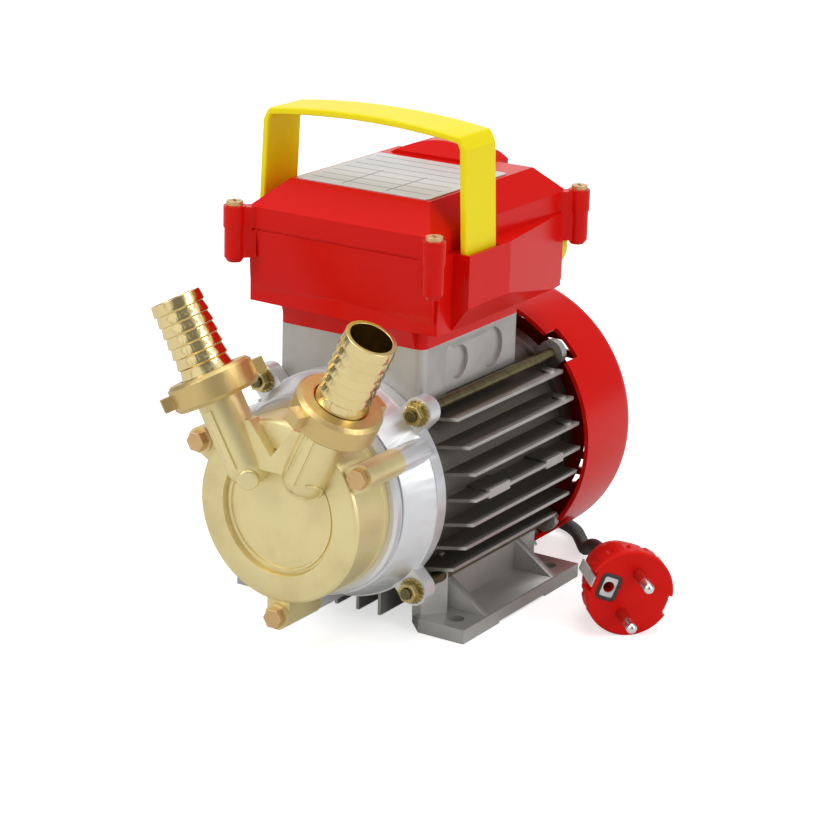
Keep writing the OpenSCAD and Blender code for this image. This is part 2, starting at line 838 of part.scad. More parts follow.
module windings() color([0.72, 0.36, 0.16]) translate([0, 0, shaft_z]) rotate([90, 0, 0]) {
    slot_in = rotor_r + air_gap + tooth_tip + winding_in / 2;
    slot_out = winding_r;
    for (s = [-1, 1]) translate([0, 0, s > 0 ? core_half : -core_half - winding_reach])
        linear_extrude(winding_reach) difference() {
            circle(r = slot_out, $fn = 96);
            circle(r = slot_in, $fn = 96);
        }
    translate([0, 0, -core_half - winding_in]) linear_extrude(2 * (core_half + winding_in))
        slots(slot_in + winding_in / 2, slot_out - winding_in / 2, slot_w - winding_in / 2);
}

module shaft() color([0.78, 0.79, 0.8]) difference() {
    lathe([[0, plate_y - chamber_l + impeller_gap], [shaft_end_r, plate_y - chamber_l + impeller_gap],
        [shaft_end_r, seal_front - lip_t], [bearing_in_r - seat, seal_front - lip_t],
        [bearing_in_r - seat, seal_front + bearing_w], [shaft_mid_r, seal_front + bearing_w],
        [shaft_mid_r, rear_bearing_y], [bearing_in_r - seat, rear_bearing_y],
        [bearing_in_r - seat, rear_bearing_y + bearing_w + over], [shaft_end_r,
            rear_bearing_y + bearing_w + over],
        [shaft_end_r, shaft_back], [0, shaft_back]]);
    translate([-key_w / 2 - seat, impeller_y, shaft_z + shaft_end_r - key_h / 2 - seat])
        cube([key_w + 2 * seat, key_l + seat, key_h]);
    lathe([[shaft_end_r - clip_depth, clip_y], [shaft_end_r + over, clip_y],
        [shaft_end_r + over, clip_y + clip_t + run], [shaft_end_r - clip_depth, clip_y + clip_t + run]]);
}

module rotor_core() color([0.55, 0.55, 0.57]) difference() {
    lathe([[shaft_mid_r + seat, -core_half], [rotor_r - end_ring_w, -core_half], [rotor_r - end_ring_w,
        -core_half - end_ring_l],
        [rotor_r - fin_t, -core_half - end_ring_l], [rotor_r - fin_t, -core_half], [rotor_r, -core_half],
        [rotor_r, core_half], [rotor_r - fin_t, core_half], [rotor_r - fin_t, core_half + end_ring_l],
        [rotor_r - end_ring_w, core_half + end_ring_l], [rotor_r - end_ring_w, core_half],
            [shaft_mid_r + seat, core_half]]);
}

// one bearing: outer race, inner race or its balls, with its front face at y
module race_outer(y) translate([0, y, shaft_z]) rotate([-90, 0, 0]) rotate_extrude($fn = 96) difference() {
    translate([ball_circle_r + race_gap, 0]) square([bearing_r - ball_circle_r - race_gap, bearing_w]);
    translate([ball_circle_r, bearing_w / 2]) circle(r = ball_r + seat, $fn = 48);
}

module race_inner(y) translate([0, y, shaft_z]) rotate([-90, 0, 0]) rotate_extrude($fn = 96) difference() {
    translate([bearing_in_r, 0]) square([ball_circle_r - race_gap - bearing_in_r, bearing_w]);
    translate([ball_circle_r, bearing_w / 2]) circle(r = ball_r + seat, $fn = 48);
}

module balls(y) for (k = [0 : ball_n - 1]) translate([0, y + bearing_w / 2, 0])
    round_shaft(ball_circle_r, k * 360 / ball_n) sphere(r = ball_r, $fn = 48);

module front_bearing_outer() color([0.8, 0.81, 0.83]) race_outer(seal_front);
module front_bearing_inner() color([0.8, 0.81, 0.83]) race_inner(seal_front);
module rear_bearing_outer() color([0.8, 0.81, 0.83]) race_outer(rear_bearing_y);
module rear_bearing_inner() color([0.8, 0.81, 0.83]) race_inner(rear_bearing_y);
module bearing_balls() color([0.85, 0.86, 0.88]) {
    balls(seal_front);
    balls(rear_bearing_y);
}

module preload_washer() color([0.7, 0.7, 0.72]) lathe([[ball_circle_r + race_gap, rear_bearing_y + bearing_w],
    [bearing_r, rear_bearing_y + bearing_w], [bearing_r, rear_bearing_y + bearing_w + washer_gap],
    [ball_circle_r + race_gap, rear_bearing_y + bearing_w + washer_gap]]);

module seal_seat() color([0.9, 0.9, 0.86]) lathe([[seat_in_r, ring_y], [seal_pocket_r - seat, ring_y],
    [seal_pocket_r - seat, ring_y + seat_t], [seat_in_r, ring_y + seat_t]]);

module seal_head() color([0.2, 0.2, 0.22]) lathe([[head_in_r, ring_y + seat_t + seat], [head_r - fin_t,
    ring_y + seat_t + seat],
    [head_r - fin_t, ring_y + seat_t + washer_gap], [head_r, ring_y + seat_t + washer_gap],
    [head_r, ring_y + seat_t + head_l], [head_in_r, ring_y + seat_t + head_l]]);

module pump_backplate() color([0.8, 0.68, 0.4]) difference() {
    lathe([[plate_bore_r, ring_y], [plate_bore_r, plate_y], [cover_r + plate_out, plate_y],
        [cover_r + plate_out, ring_y]]);
    at_cover_bolts() bar_y(0, 0, cover_boss_r + run, ring_y - over - backplate_t, ring_y + over);
}

module cover_o_ring() color([0.1, 0.1, 0.1]) translate([0, plate_y - o_ring_r, shaft_z]) rotate([-90, 0, 0])
    rotate_extrude($fn = 96) translate([o_ring_circle_r, 0]) circle(r = o_ring_r, $fn = 32);

module impeller() color([0.78, 0.62, 0.32]) difference() {
    union() {
        slab_y(impeller_y, plate_y - impeller_gap) translate([0, shaft_z]) {
            circle(r = impeller_hub_r, $fn = 64);
            for (k = [0 : blade_n - 1]) rotate([0, 0, k * 360 / blade_n])
                translate([impeller_hub_r - over, -blade_w / 2])
                    square([chamber_r - impeller_gap - impeller_hub_r + over, blade_w]);
        }
    }
    bar_y(0, shaft_z, impeller_bore_r, impeller_y - over, plate_y);
    translate([-key_w / 2 - seat, impeller_y - over, shaft_z])
        cube([key_w + 2 * seat, key_l + over + seat, shaft_end_r + key_h / 2 + seat]);
}

module impeller_key() color([0.7, 0.7, 0.72]) translate([-key_w / 2, impeller_y,
    shaft_z + shaft_end_r - key_h / 2])
    cube([key_w, key_l, key_h]);

// place something at the foot of a port, with Z along the port; side is 1 or -1
module at_port(side) mirror([side > 0 ? 0 : 1, 0, 0])
    translate([port_x, cover_y - port_y_out, shaft_z + port_up]) rotate([port_lean, port_tilt, 0]) children();

module port_body(side) at_port(side) {
    sphere(r = port_r, $fn = 64);
    cylinder(r = port_r, h = port_l + thread_start, $fn = 64);
    translate([0, 0, port_l + thread_start]) cylinder(r = thread_r,
        h = nut_h - gasket_t - collar_t - lip_t2 - run - thread_start, $fn = 64);
    translate([-arrow_w / 2, -port_r - arrow_h, 0]) cube([arrow_w, port_r, port_l - arrow_w]);
}

// height of the gasket seat along the port
gasket_z = port_l + nut_h - lip_t2 - run - collar_t - gasket_t;

// wall that joins the two ports, notched between them
module port_saddle() {
    out_x = port_x + saddle_reach * sin(port_tilt);
    out_z = shaft_z + port_up + saddle_reach * cos(port_tilt);
    slab_y(cover_y - saddle_proud, cover_y + saddle_sink) polygon([[-port_x, shaft_z + port_up], [-out_x,
        out_z],
        [-saddle_in_x, shaft_z + saddle_top], [0, shaft_z + saddle_notch], [saddle_in_x,
            shaft_z + saddle_top],
        [out_x, out_z], [port_x, shaft_z + port_up]]);
    slab_y(cover_y, recess_y + over) polygon([[-port_x, shaft_z + port_up], [0, shaft_z + saddle_notch],
        [port_x, shaft_z + port_up]]);
}

module pump_cover() color([0.85, 0.79, 0.58]) difference() {
    union() {
        lathe([[0, plate_y], [cover_r, plate_y], [cover_r, cover_y + cover_round],
            [cover_r - cover_round * 0.3, cover_y + cover_round * 0.3], [cover_r - cover_round, cover_y],
            [recess_r, cover_y], [recess_r - recess_draft, recess_y], [rim_line_r + rim_line_draft, recess_y],
            [rim_line_r, recess_y - rim_line_h], [rim_line_r - rim_line_w, recess_y - rim_line_h],
            [rim_line_r - rim_line_w - rim_line_draft, recess_y], [0, recess_y]]);
        port_saddle();
        at_cover_bolts() bar_y(0, 0, cover_boss_r, cover_y + boss_front, boss_back);
        for (angle = [30, 150, 270]) translate([0, 0, shaft_z]) rotate([0, -angle, 0])
            translate([chamber_r + over, cover_y + cover_round, -cover_boss_r])
                cube([cover_bolt_circle_r - chamber_r - over, cover_t - cover_round - run, 2 * cover_boss_r]);
        port_body(1);
        port_body(-1);
    }
    lathe([[0, chamber_y], [chamber_r, chamber_y], [chamber_r, plate_y + over], [0, plate_y + over]]);
    lathe([[o_ring_circle_r - o_ring_r - seat, plate_y - 2 * o_ring_r - seat],
        [o_ring_circle_r + o_ring_r + seat,
        plate_y - 2 * o_ring_r - seat], [o_ring_circle_r + o_ring_r + seat, plate_y + over],
        [o_ring_circle_r - o_ring_r - seat, plate_y + over]]);
    at_cover_bolts() bar_y(0, 0, cover_bolt_d / 2 + run, cover_y - over, boss_back + over);
    for (side = [1, -1]) {
        at_port(side) cylinder(r = port_bore_r, h = port_l + nut_h, $fn = 64);
        at_port(side) sphere(r = port_bore_r, $fn = 64);
        bar_y(side * port_x, shaft_z + port_up, elbow_r, cover_y - port_y_out, chamber_y + over);
    }
}

module cover_bolts() color([0.8, 0.68, 0.4]) at_cover_bolts() {
    slab_y(cover_y + boss_front - bolt_head_h, cover_y + boss_front) hexagon(bolt_head_af);
    bar_y(0, 0, cover_bolt_d / 2, cover_y + boss_front - over, boss_back + flange_boss_l - 2 * over);
}

module union_gaskets() color([0.15, 0.15, 0.15]) for (side = [1, -1]) at_port(side)
    translate([0, 0, gasket_z]) difference() {
        cylinder(r = tail_collar_r, h = gasket_t, $fn = 64);
        translate([0, 0, -over]) cylinder(r = tail_bore_r, h = gasket_t + 2 * over, $fn = 64);
    }

module hose_tail(side) at_port(side) translate([0, 0, gasket_z + gasket_t]) {
    start = collar_t + run + lip_t2;
    pitch = tail_l / ridge_n;
    ridges = [for (k = [0 : ridge_n - 1], e = [0, 1]) [e == 0 ? tail_r : tail_neck_r,
        start + pitch * (k + e * 0.9)]];
    rotate_extrude($fn = 96) polygon(concat([[tail_bore_r, 0], [tail_collar_r, 0], [tail_collar_r, collar_t],
        [tail_neck_r, collar_t], [tail_neck_r, start]], [for (p = ridges)
            if (p[1] < start + tail_l - pitch * 0.2) p],
        [[mouth_r, start + tail_l], [tail_bore_r, start + tail_l]]));
}

module hose_tail_left() color([0.85, 0.78, 0.6]) hose_tail(-1);
module hose_tail_right() color([0.85, 0.78, 0.6]) hose_tail(1);

module union_nut(side, turn) at_port(side) translate([0, 0, port_l]) difference() {
    union() {
        rotate_extrude($fn = 96) polygon([[0, 0], [nut_r - nut_chamfer, 0], [nut_r, nut_chamfer],
            [nut_r, nut_h - nut_chamfer], [nut_r - nut_chamfer, nut_h], [0, nut_h]]);
        rotate([0, 0, turn]) translate([-lug_reach, -lug_w / 2, (nut_h - lug_h) / 2]) cube([2 * lug_reach,
            lug_w, lug_h]);
    }
    translate([0, 0, -over]) cylinder(r = nut_bore_r, h = nut_h - lip_t2 + over, $fn = 64);
    translate([0, 0, -over]) cylinder(r = nut_top_r, h = nut_h + 2 * over, $fn = 64);
}

module union_nut_left() color([0.83, 0.76, 0.55]) union_nut(-1, lug_turn_left);
module union_nut_right() color([0.83, 0.76, 0.55]) union_nut(1, lug_turn_right);

module cooling_fan() color([0.15, 0.15, 0.16]) difference() {
    union() {
        slab_y(fan_y, fan_y + fan_w) translate([0, shaft_z]) {
            circle(r = fan_hub_r, $fn = 64);
            for (k = [0 : fan_n - 1]) rotate([0, 0, k * 360 / fan_n + 12]) translate([0, -fan_blade_t / 2])
                square([fan_r, fan_blade_t]);
        }
        bar_y(0, shaft_z, fan_disc_r, fan_y, fan_y + fan_disc_t);
    }
    bar_y(0, shaft_z, shaft_end_r + seat, fan_y - over, fan_y + fan_w + over);
}

module fan_clip() color([0.5, 0.5, 0.52]) slab_y(clip_y, clip_y + clip_t) translate([0, shaft_z])
    difference() {
    circle(r = clip_r, $fn = 64);
    circle(r = shaft_end_r - clip_depth + seat, $fn = 64);
    translate([-clip_gap / 2, -clip_r - over]) square([clip_gap, clip_r + over]);
}

// points of the cowl's rounded back corner, from the side to the rear face
function cowl_corner(r, y, dr, dy) = [for (a = [0 : 15 : 90]) [r - dr * (1 - cos(a)), y + dy * sin(a)]];

module fan_cowl() color([0.83, 0.07, 0.05]) difference() {
    lathe(concat([[cowl_in_r, cowl_y], [cowl_r, cowl_y]],
        cowl_corner(cowl_r, cowl_side_back, cowl_r - cowl_back_r, cowl_bend),
        [[0, cowl_y + cowl_l], [0, cowl_y + cowl_l - cowl_wall]],
        [for (k = [6 : -1 : 0]) cowl_corner(cowl_in_r, cowl_side_back - cowl_wall / 4,
            cowl_r - cowl_back_r, cowl_bend - 0.75 * cowl_wall)[k]]));
    for (angle = [45, 135, 225, 315]) translate([0, 0, shaft_z]) rotate([0, -angle, 0])
        translate([barrel_r, cowl_y - over, -ear_notch_w / 2]) cube([cowl_r, ear_notch_l + over,
            ear_notch_w]);
    slab_y(cowl_side_back, cowl_y + cowl_l + over) translate([0, shaft_z]) intersection() {
        circle(r = grille_r, $fn = 96);
        for (k = [-grille_n : grille_n]) translate([-grille_r, k * grille_pitch - grille_slot / 2])
            square([2 * grille_r, grille_slot]);
    }
    for (angle = cowl_lug_angles) translate([0, barrel_aft + shield_t / 2, shaft_z]) rotate([0, 90 - angle,
        0])
        translate([0, 0, barrel_r]) cylinder(d = cowl_screw_d + 2 * run, h = cowl_r, $fn = 32);
}

module cowl_screws() color([0.72, 0.72, 0.74]) for (angle = cowl_lug_angles)
    translate([0, barrel_aft + shield_t / 2, shaft_z]) rotate([0, 90 - angle, 0]) difference() {
        union() {
            translate([0, 0, cowl_r - cowl_screw_in]) cylinder(d = cowl_screw_d, h = cowl_screw_in + over,
                $fn = 32);
            translate([0, 0, cowl_r + run]) cylinder(r = cowl_screw_head_r, h = cowl_screw_head_h, $fn = 32);
        }
        for (a = [0, 90]) rotate([0, 0, a]) translate([-cowl_screw_head_r * 0.6, -cowl_screw_d / 8,
            cowl_r + cowl_screw_head_h / 2])
            cube([cowl_screw_head_r * 1.2, cowl_screw_d / 4, cowl_screw_head_h]);
    }

// plan of the wide part of the box, drawn in by a wall
module box_plan(wall) {
    round_rect(-box_w / 2 + wall, -box_fore + wall, box_w / 2 - wall, box_aft - wall, box_round);
}

module box_pocket() intersection() {
    translate([0, 0, wide_z]) linear_extrude(rim_z - wide_z) polygon([[0, -box_fore + box_round],
        [box_w / 2 + pocket_flare, -pocket_fore - pocket_start], [box_w / 2 + pocket_flare, -pocket_fore],
        [pocket_span / 2, -pocket_fore], [pocket_span / 2, -pocket_fore + pocket_flat],
        [box_w / 2, box_aft - box_round], [0, box_aft - box_round]]);
    slab_y(-box_fore, box_aft) polygon([[0, wide_z], [box_w / 2 + pocket_flare, wide_z],
        [pocket_span / 2, wide_z + pocket_start], [pocket_span / 2, rim_z], [0, rim_z]]);
}

// the four screw pillars of the box, seen in plan
module at_pillars() for (x = [-1, 1], y = [-box_fore - pillar_out, box_aft + pillar_out])
    translate([x * pillar_x, y, 0]) children();

module pillar_webs(z0, z1, reach) for (x = [-1, 1], y = [-1, 1])
    translate([x * pillar_x, y > 0 ? box_aft + pillar_out : -box_fore - pillar_out, z0])
        linear_extrude(z1 - z0) rotate([0, 0, y * x * 45 + (x > 0 ? 180 : 0)])
            translate([0, -pillar_web / 2]) square([reach, pillar_web]);

module strap_slots() for (s = [0, 1]) mirror([s, 0, 0]) translate([slot_in_x, -strap_fore - slot_play,
    slot_floor])
    cube([slot_out_x - slot_in_x, strap_w + 2 * slot_play, rim_z]);

module terminal_box() color([0.83, 0.07, 0.05]) difference() {
    union() {
        translate([0, 0, skirt_z]) linear_extrude(skirt_h + over)
            round_rect(-pedestal_w / 2, -pedestal_fore, pedestal_w / 2, pedestal_aft, skirt_round);
        intersection() {
            translate([0, 0, wide_z]) linear_extrude(box_h) box_plan(0);
            slab_y(-box_fore, box_aft) polygon([[-box_w / 2 + box_round, wide_z], [box_w / 2 - box_round,
                wide_z],
                [box_w / 2, wide_z + box_round], [box_w / 2, rim_z], [-box_w / 2, rim_z], [-box_w / 2,
                    wide_z + box_round]]);
            slab_x(-box_w / 2, box_w / 2) polygon([[-box_fore + box_nose + box_round, wide_z],
                [box_aft - box_round, wide_z],
                [box_aft, wide_z + box_round], [box_aft, rim_z], [-box_fore, rim_z],
                [-box_fore + box_nose, wide_z + box_nose_rise]]);
        }
        slab_x(-pedestal_w / 2 + skirt_round, pedestal_w / 2 - skirt_round) polygon([[-pedestal_fore,
            skirt_z],
            [-box_fore + box_nose, wide_z + box_nose_rise], [-pedestal_fore + box_wall,
                wide_z + box_nose_rise],
            [-pedestal_fore + box_wall, skirt_z]]);
        box_pocket();
        mirror([1, 0, 0]) box_pocket();
        at_pillars() {
            translate([0, 0, rim_z - pillar_len]) cylinder(r = pillar_r, h = pillar_len, $fn = 48);
            translate([0, 0, rim_z - pillar_len - pillar_tip])
                cylinder(r1 = pillar_tip_r, r2 = pillar_r, h = pillar_tip, $fn = 48);
        }
        pillar_webs(rim_z - pillar_len, rim_z, pillar_web_reach);
    }
    translate([0, 0, skirt_z + skirt_floor]) linear_extrude(rim_z) round_rect(-pedestal_w / 2 + box_wall,
        -pedestal_fore + box_wall, pedestal_w / 2 - box_wall, pedestal_aft - box_wall, skirt_round);
    translate([0, 0, rim_z - box_round]) linear_extrude(rim_z) box_plan(box_wall);
    translate([0, 0, wide_z + box_nose_rise]) linear_extrude(rim_z) round_rect(-box_w / 2 + box_wall,
        -box_fore + box_nose + box_wall, box_w / 2 - box_wall, box_aft - box_wall, box_round);
    translate([0, 0, wide_z + box_wall]) linear_extrude(rim_z) round_rect(-box_w / 2 + box_wall,
        -box_fore + box_nose + box_wall + box_round, box_w / 2 - box_wall, box_aft - box_wall, box_round);
    translate([0, 0, rim_z - seam_w]) linear_extrude(seam_w + over) difference() {
        round_rect(-box_w / 2 - over, -box_fore - over, box_w / 2 + over, box_aft + over, box_round);
        box_plan(seam_depth);
        at_pillars() circle(r = pillar_r + over, $fn = 48);
        for (s = [-1, 1]) translate([s * (box_w / 2), 0]) square([2 * pillar_inset, 2 * box_fore],
            center = true);
    }
    translate([lead_x, lead_y, skirt_z - over]) cylinder(r = lead_hole_r, h = skirt_floor + 2 * over,
        $fn = 48);
    pedestal_posts(box_screw_d / 2 + run, skirt_z - over, skirt_z + skirt_floor + over);
    strap_slots();
    at_pillars() translate([0, 0, rim_z - lid_screw_l + lid_boss_h]) cylinder(d = lid_screw_d,
        h = lid_screw_l, $fn = 32);
    bar_y(gland_x, gland_z, gland_r + run, box_aft - 2 * box_wall, box_aft + over);
    bar_y(switch_x, switch_z, bush_r + run, box_aft - 2 * box_wall, box_aft + over);
}

module box_screws() color([0.75, 0.75, 0.77]) {
    difference() {
        union() {
            pedestal_posts(box_screw_d / 2 - seat, skirt_z - box_screw_l + over,
                skirt_z + skirt_floor + over);
            pedestal_posts(box_screw_d, skirt_z + skirt_floor, skirt_z + skirt_floor + lid_screw_head_h);
        }
        for (a = [-1, 1]) pedestal_posts(box_screw_d / 3, skirt_z + skirt_floor + lid_screw_head_h / 2,
            skirt_z + skirt_floor + lid_screw_head_h + over);
    }
}

// thin sealing strip laid round the rim inside the screws
module lid_gasket() color([0.12, 0.12, 0.12]) translate([0, 0, rim_z - gasket_groove])
    linear_extrude(gasket_groove - seat)
    difference() {
        box_plan(box_wall + seat);
        box_plan(box_wall + gasket_strip);
    }

module lead_grommet() color([0.12, 0.12, 0.12]) translate([lead_x, lead_y, skirt_z - grommet_t])
    difference() {
    cylinder(r = lead_hole_r - seat, h = grommet_t + skirt_floor + grommet_t, $fn = 48);
    translate([0, 0, -over]) cylinder(r = lead_hole_r - gasket_strip, h = skirt_floor + 4 * over, $fn = 48);
}

// outer form of the lid, drawn in by a wall
module lid_form(wall, z0) intersection() {
    translate([0, 0, z0]) linear_extrude(lid_top - wall - z0) round_rect(-box_w / 2 + lid_in_x + wall,
        -box_fore + wall,
        box_w / 2 - lid_in_x - wall, box_aft - wall, box_round);
    slab_y(-box_fore, box_aft) polygon([[-box_w / 2 + lid_in_x + wall, z0], [box_w / 2 - lid_in_x - wall, z0],
        [box_w / 2 - lid_in_x - wall, lid_z - wall * 0.4], [plateau_x - wall * 0.4, lid_top - wall],
        [-plateau_x + wall * 0.4, lid_top - wall], [-box_w / 2 + lid_in_x + wall, lid_z - wall * 0.4]]);
    slab_x(-box_w / 2, box_w / 2) polygon([[-box_fore + wall, z0], [box_aft - wall, z0],
        [box_aft - wall, lid_z - wall * 0.4], [plateau_aft - wall * 0.4, lid_top - wall],
        [-plateau_fore + wall * 0.4, lid_top - wall], [-box_fore + wall, lid_z - wall * 0.4]]);
}

module lid_hump() intersection() {
    hump_r = (hump_half * hump_half + hump_h * hump_h) / (2 * hump_h);
    bar_y(hump_x, lid_top + hump_h - hump_r, hump_r, hump_fore, hump_aft);
    slab_x(hump_x - hump_half, hump_x + hump_half) polygon([[hump_fore, lid_top - lid_wall / 2],
        [hump_aft, lid_top - lid_facet_h], [hump_aft, lid_top + hump_h * 0.4], [hump_aft - hump_slope,
            lid_top + hump_h],
        [hump_fore + hump_slope, lid_top + hump_h], [hump_fore, lid_top + hump_h * 0.2]]);
}

module box_lid() color([0.83, 0.07, 0.05]) difference() {
    union() {
        lid_form(0, rim_z);
        lid_hump();
        at_pillars() translate([0, 0, rim_z]) cylinder(r = lid_boss_r, h = lid_boss_h, $fn = 48);
        pillar_webs(rim_z, rim_z + lid_rim_h, pillar_web_reach + over);
    }
    lid_form(lid_wall, rim_z - over);
    strap_slots();
    at_pillars() translate([0, 0, rim_z - over]) cylinder(d = lid_screw_d + 2 * run,
        h = lid_boss_h + 2 * over, $fn = 32);
}

module lid_screws() color([0.8, 0.68, 0.4]) at_pillars() difference() {
    union() {
        translate([0, 0, rim_z + lid_boss_h]) cylinder(r = lid_screw_head_r, h = lid_screw_head_h, $fn = 32);
        translate([0, 0, rim_z + lid_boss_h - lid_screw_l + over]) cylinder(d = lid_screw_d - 2 * seat,
            h = lid_screw_l, $fn = 32);
    }
    for (a = [45, 135]) rotate([0, 0, a]) translate([-lid_screw_head_r * 0.7, -lid_screw_d / 8,
        rim_z + lid_boss_h + lid_screw_head_h / 2]) cube([lid_screw_head_r * 1.4, lid_screw_d / 4,
            lid_screw_head_h]);
}

module rating_plate() color([0.85, 0.85, 0.84]) translate([0, 0, lid_top]) linear_extrude(rating_t)
    round_rect(-plate_half, -plate_fore, plate_half, plate_aft, plate_round);

// outline of the strap, drawn in by its thickness
module strap_outline(t) {
    arch_r = (strap_shoulder_x * strap_shoulder_x + strap_arch * strap_arch) / (2 * strap_arch);
    lean = (strap_foot_x - strap_shoulder_x) / (strap_shoulder_z - slot_floor);
    low = slot_floor - (t > 0 ? over : 0);
    intersection() {
        polygon([[-strap_foot_x - lean * (slot_floor - low) + t, low],
            [strap_foot_x + lean * (slot_floor - low) - t, low],
            [strap_shoulder_x + lean * strap_corner - t, strap_shoulder_z - strap_corner],
            [strap_shoulder_x - strap_corner * 0.3 - t, strap_shoulder_z - strap_corner * 0.3],
            [strap_shoulder_x - strap_corner - t * 0.6, strap_shoulder_z + strap_arch],
            [-strap_shoulder_x + strap_corner + t * 0.6, strap_shoulder_z + strap_arch],
            [-strap_shoulder_x + strap_corner * 0.3 + t, strap_shoulder_z - strap_corner * 0.3],
            [-strap_shoulder_x - lean * strap_corner + t, strap_shoulder_z - strap_corner]]);
        translate([0, strap_shoulder_z + strap_arch - arch_r]) circle(r = arch_r - t, $fn = 360);
    }
}

module handle() color([0.96, 0.88, 0.08]) slab_y(-strap_fore, -strap_fore + strap_w) difference() {
    strap_outline(0);
    strap_outline(strap_t);
}

module capacitor() color([0.75, 0.75, 0.72]) {
    bar_y(cap_x, cap_z, cap_r, cap_y, cap_y + cap_l);
    for (x = [-1, 1]) bar_y(cap_x + x * cap_r / 2, cap_z, stud_r, cap_y + cap_l, cap_y + cap_l + stud_h);
}

module terminal_block() color([0.25, 0.25, 0.26]) difference() {
    translate([block_x - block_w / 2, block_y, skirt_z + skirt_floor]) cube([block_w, block_l, block_h]);
    for (k = [-1 : 1]) translate([block_x + k * stud_pitch, block_y + block_l / 2,
        skirt_z + skirt_floor + block_h / 2])
        cylinder(r = stud_r + seat, h = block_h, $fn = 32);
}

module terminal_studs() color([0.8, 0.68, 0.4]) for (k = [-1 : 1])
    translate([block_x + k * stud_pitch, block_y + block_l / 2, skirt_z + skirt_floor + block_h / 2]) {
        cylinder(r = stud_r, h = block_h / 2 + stud_h, $fn = 32);
        translate([0, 0, block_h / 2]) linear_extrude(stud_h / 2) hexagon(stud_nut_af);
    }

module motor_leads() color([0.2, 0.25, 0.7]) for (k = [-1 : 1]) {
    start = shaft_z + beside(winding_r, abs(lead_x) - lead_r) + run;
    top = skirt_z + skirt_floor + lead_rise;
    translate([lead_x, lead_y + k * lead_pitch, start]) cylinder(r = lead_r, h = top - start, $fn = 32);
    translate([lead_x, lead_y + k * lead_pitch, top]) sphere(r = lead_r, $fn = 32);
    translate([lead_x, lead_y + k * lead_pitch, top]) rotate([0, 90, 0])
        cylinder(r = lead_r, h = block_x - block_w / 2 - lead_x, $fn = 32);
}

module switch_body() color([0.2, 0.2, 0.21]) difference() {
    union() {
        translate([switch_x - switch_w / 2, box_aft - box_wall - switch_l, switch_z - switch_h / 2])
            cube([switch_w, switch_l, switch_h]);
        bar_y(switch_x, switch_z, bush_r, box_aft - box_wall - over, box_aft + knob_gap / 2);
    }
    bar_y(switch_x, switch_z, spindle_r + seat, box_aft - box_wall - spindle_in - seat,
        box_aft + 2 * knob_gap);
}

module switch_knob() color([0.96, 0.88, 0.08]) {
    bar_y(switch_x, switch_z, spindle_r, box_aft - box_wall - spindle_in, box_aft + 2 * knob_gap);
    bar_y(switch_x, switch_z, knob_r, box_aft + knob_gap, box_aft + knob_gap + knob_l - knob_bar_h);
    translate([switch_x - knob_bar_w / 2, box_aft + knob_gap + knob_l - knob_bar_h - over,
        switch_z - knob_r + over])
        cube([knob_bar_w, knob_bar_h + over, 2 * knob_r - 2 * over]);
}

module cable_gland() color([0.1, 0.1, 0.1]) {
    bar_y(gland_x, gland_z, gland_r, box_aft - box_wall - gland_in, box_aft + over);
    translate([gland_x, 0, gland_z]) slab_y(box_aft, box_aft + gland_af_l) hexagon(gland_af);
    translate([gland_x, box_aft + gland_af_l, gland_z]) rotate([-90, 0, 0])
        cylinder(r1 = gland_af / 2 - over, r2 = gland_tip_r, h = gland_l - gland_af_l, $fn = 48);
}

module gland_nut() color([0.12, 0.12, 0.12]) translate([gland_x, 0, gland_z])
    slab_y(box_aft - box_wall - gland_nut_t, box_aft - box_wall) difference() {
        hexagon(gland_af);
        circle(r = gland_r + seat, $fn = 48);
    }

module at_plug() translate([plug_x, plug_y, plug_z]) rotate([0, 0, plug_swing]) rotate([0, plug_roll, 0])
    children();

// point on the plug's long axis behind its face
function plug_axis(l) = [plug_x - l * sin(plug_swing), plug_y + l * cos(plug_swing), plug_z];

module plug_body() color([0.83, 0.07, 0.05]) at_plug() difference() {
    rotate([-90, 0, 0]) rotate_extrude($fn = 96) polygon([[0, 0], [plug_r - grip_r / 2, 0], [plug_r,
        grip_r / 2],
        [plug_r, plug_rim_l], [plug_neck_r, plug_rim_l + grip_r], [plug_neck_r, plug_l * 0.55],
        [plug_neck_r - plug_tail_r / 2, plug_l * 0.85], [plug_tail_r, plug_l], [plug_relief_r,
            plug_l + plug_relief_l],
        [0, plug_l + plug_relief_l]]);
    for (k = [0 : grip_n - 1]) rotate([0, k * 360 / grip_n, 0])
        translate([plug_r + grip_r / 2, plug_rim_l + grip_r + over, 0]) rotate([90, 0, 0])
            cylinder(r = grip_r, h = plug_rim_l - grip_r, $fn = 24);
    for (s = [-1, 1]) {
        translate([s > 0 ? plug_r - clip_notch_depth : -plug_r - over, -over, -clip_notch_w / 2])
            cube([clip_notch_depth + over, clip_notch_l + over, clip_notch_w]);
        translate([0, pin_in, s * pin_pitch / 2]) rotate([90, 0, 0]) cylinder(d = pin_d + 2 * seat,
            h = pin_in + over, $fn = 48);
    }
    translate([-earth_plate_x, earth_hole_l, 0]) rotate([90, 0, 0])
        cylinder(r = earth_hole_r, h = earth_hole_l + over, $fn = 48);
    translate([-earth_plate_x - earth_plate_w / 2 - seat, -over, -earth_plate_h / 2 - seat])
        cube([earth_plate_w + 2 * seat, earth_plate_t + over, earth_plate_h + 2 * seat]);
}

module plug_pins() color([0.83, 0.84, 0.85]) at_plug() for (s = [-1, 1]) translate([0, pin_in,
    s * pin_pitch / 2])
    rotate([90, 0, 0]) {
        cylinder(d = pin_d, h = pin_in + pin_l - pin_d / 2, $fn = 48);
        translate([0, 0, pin_in + pin_l - pin_d / 2]) sphere(d = pin_d, $fn = 48);
    }

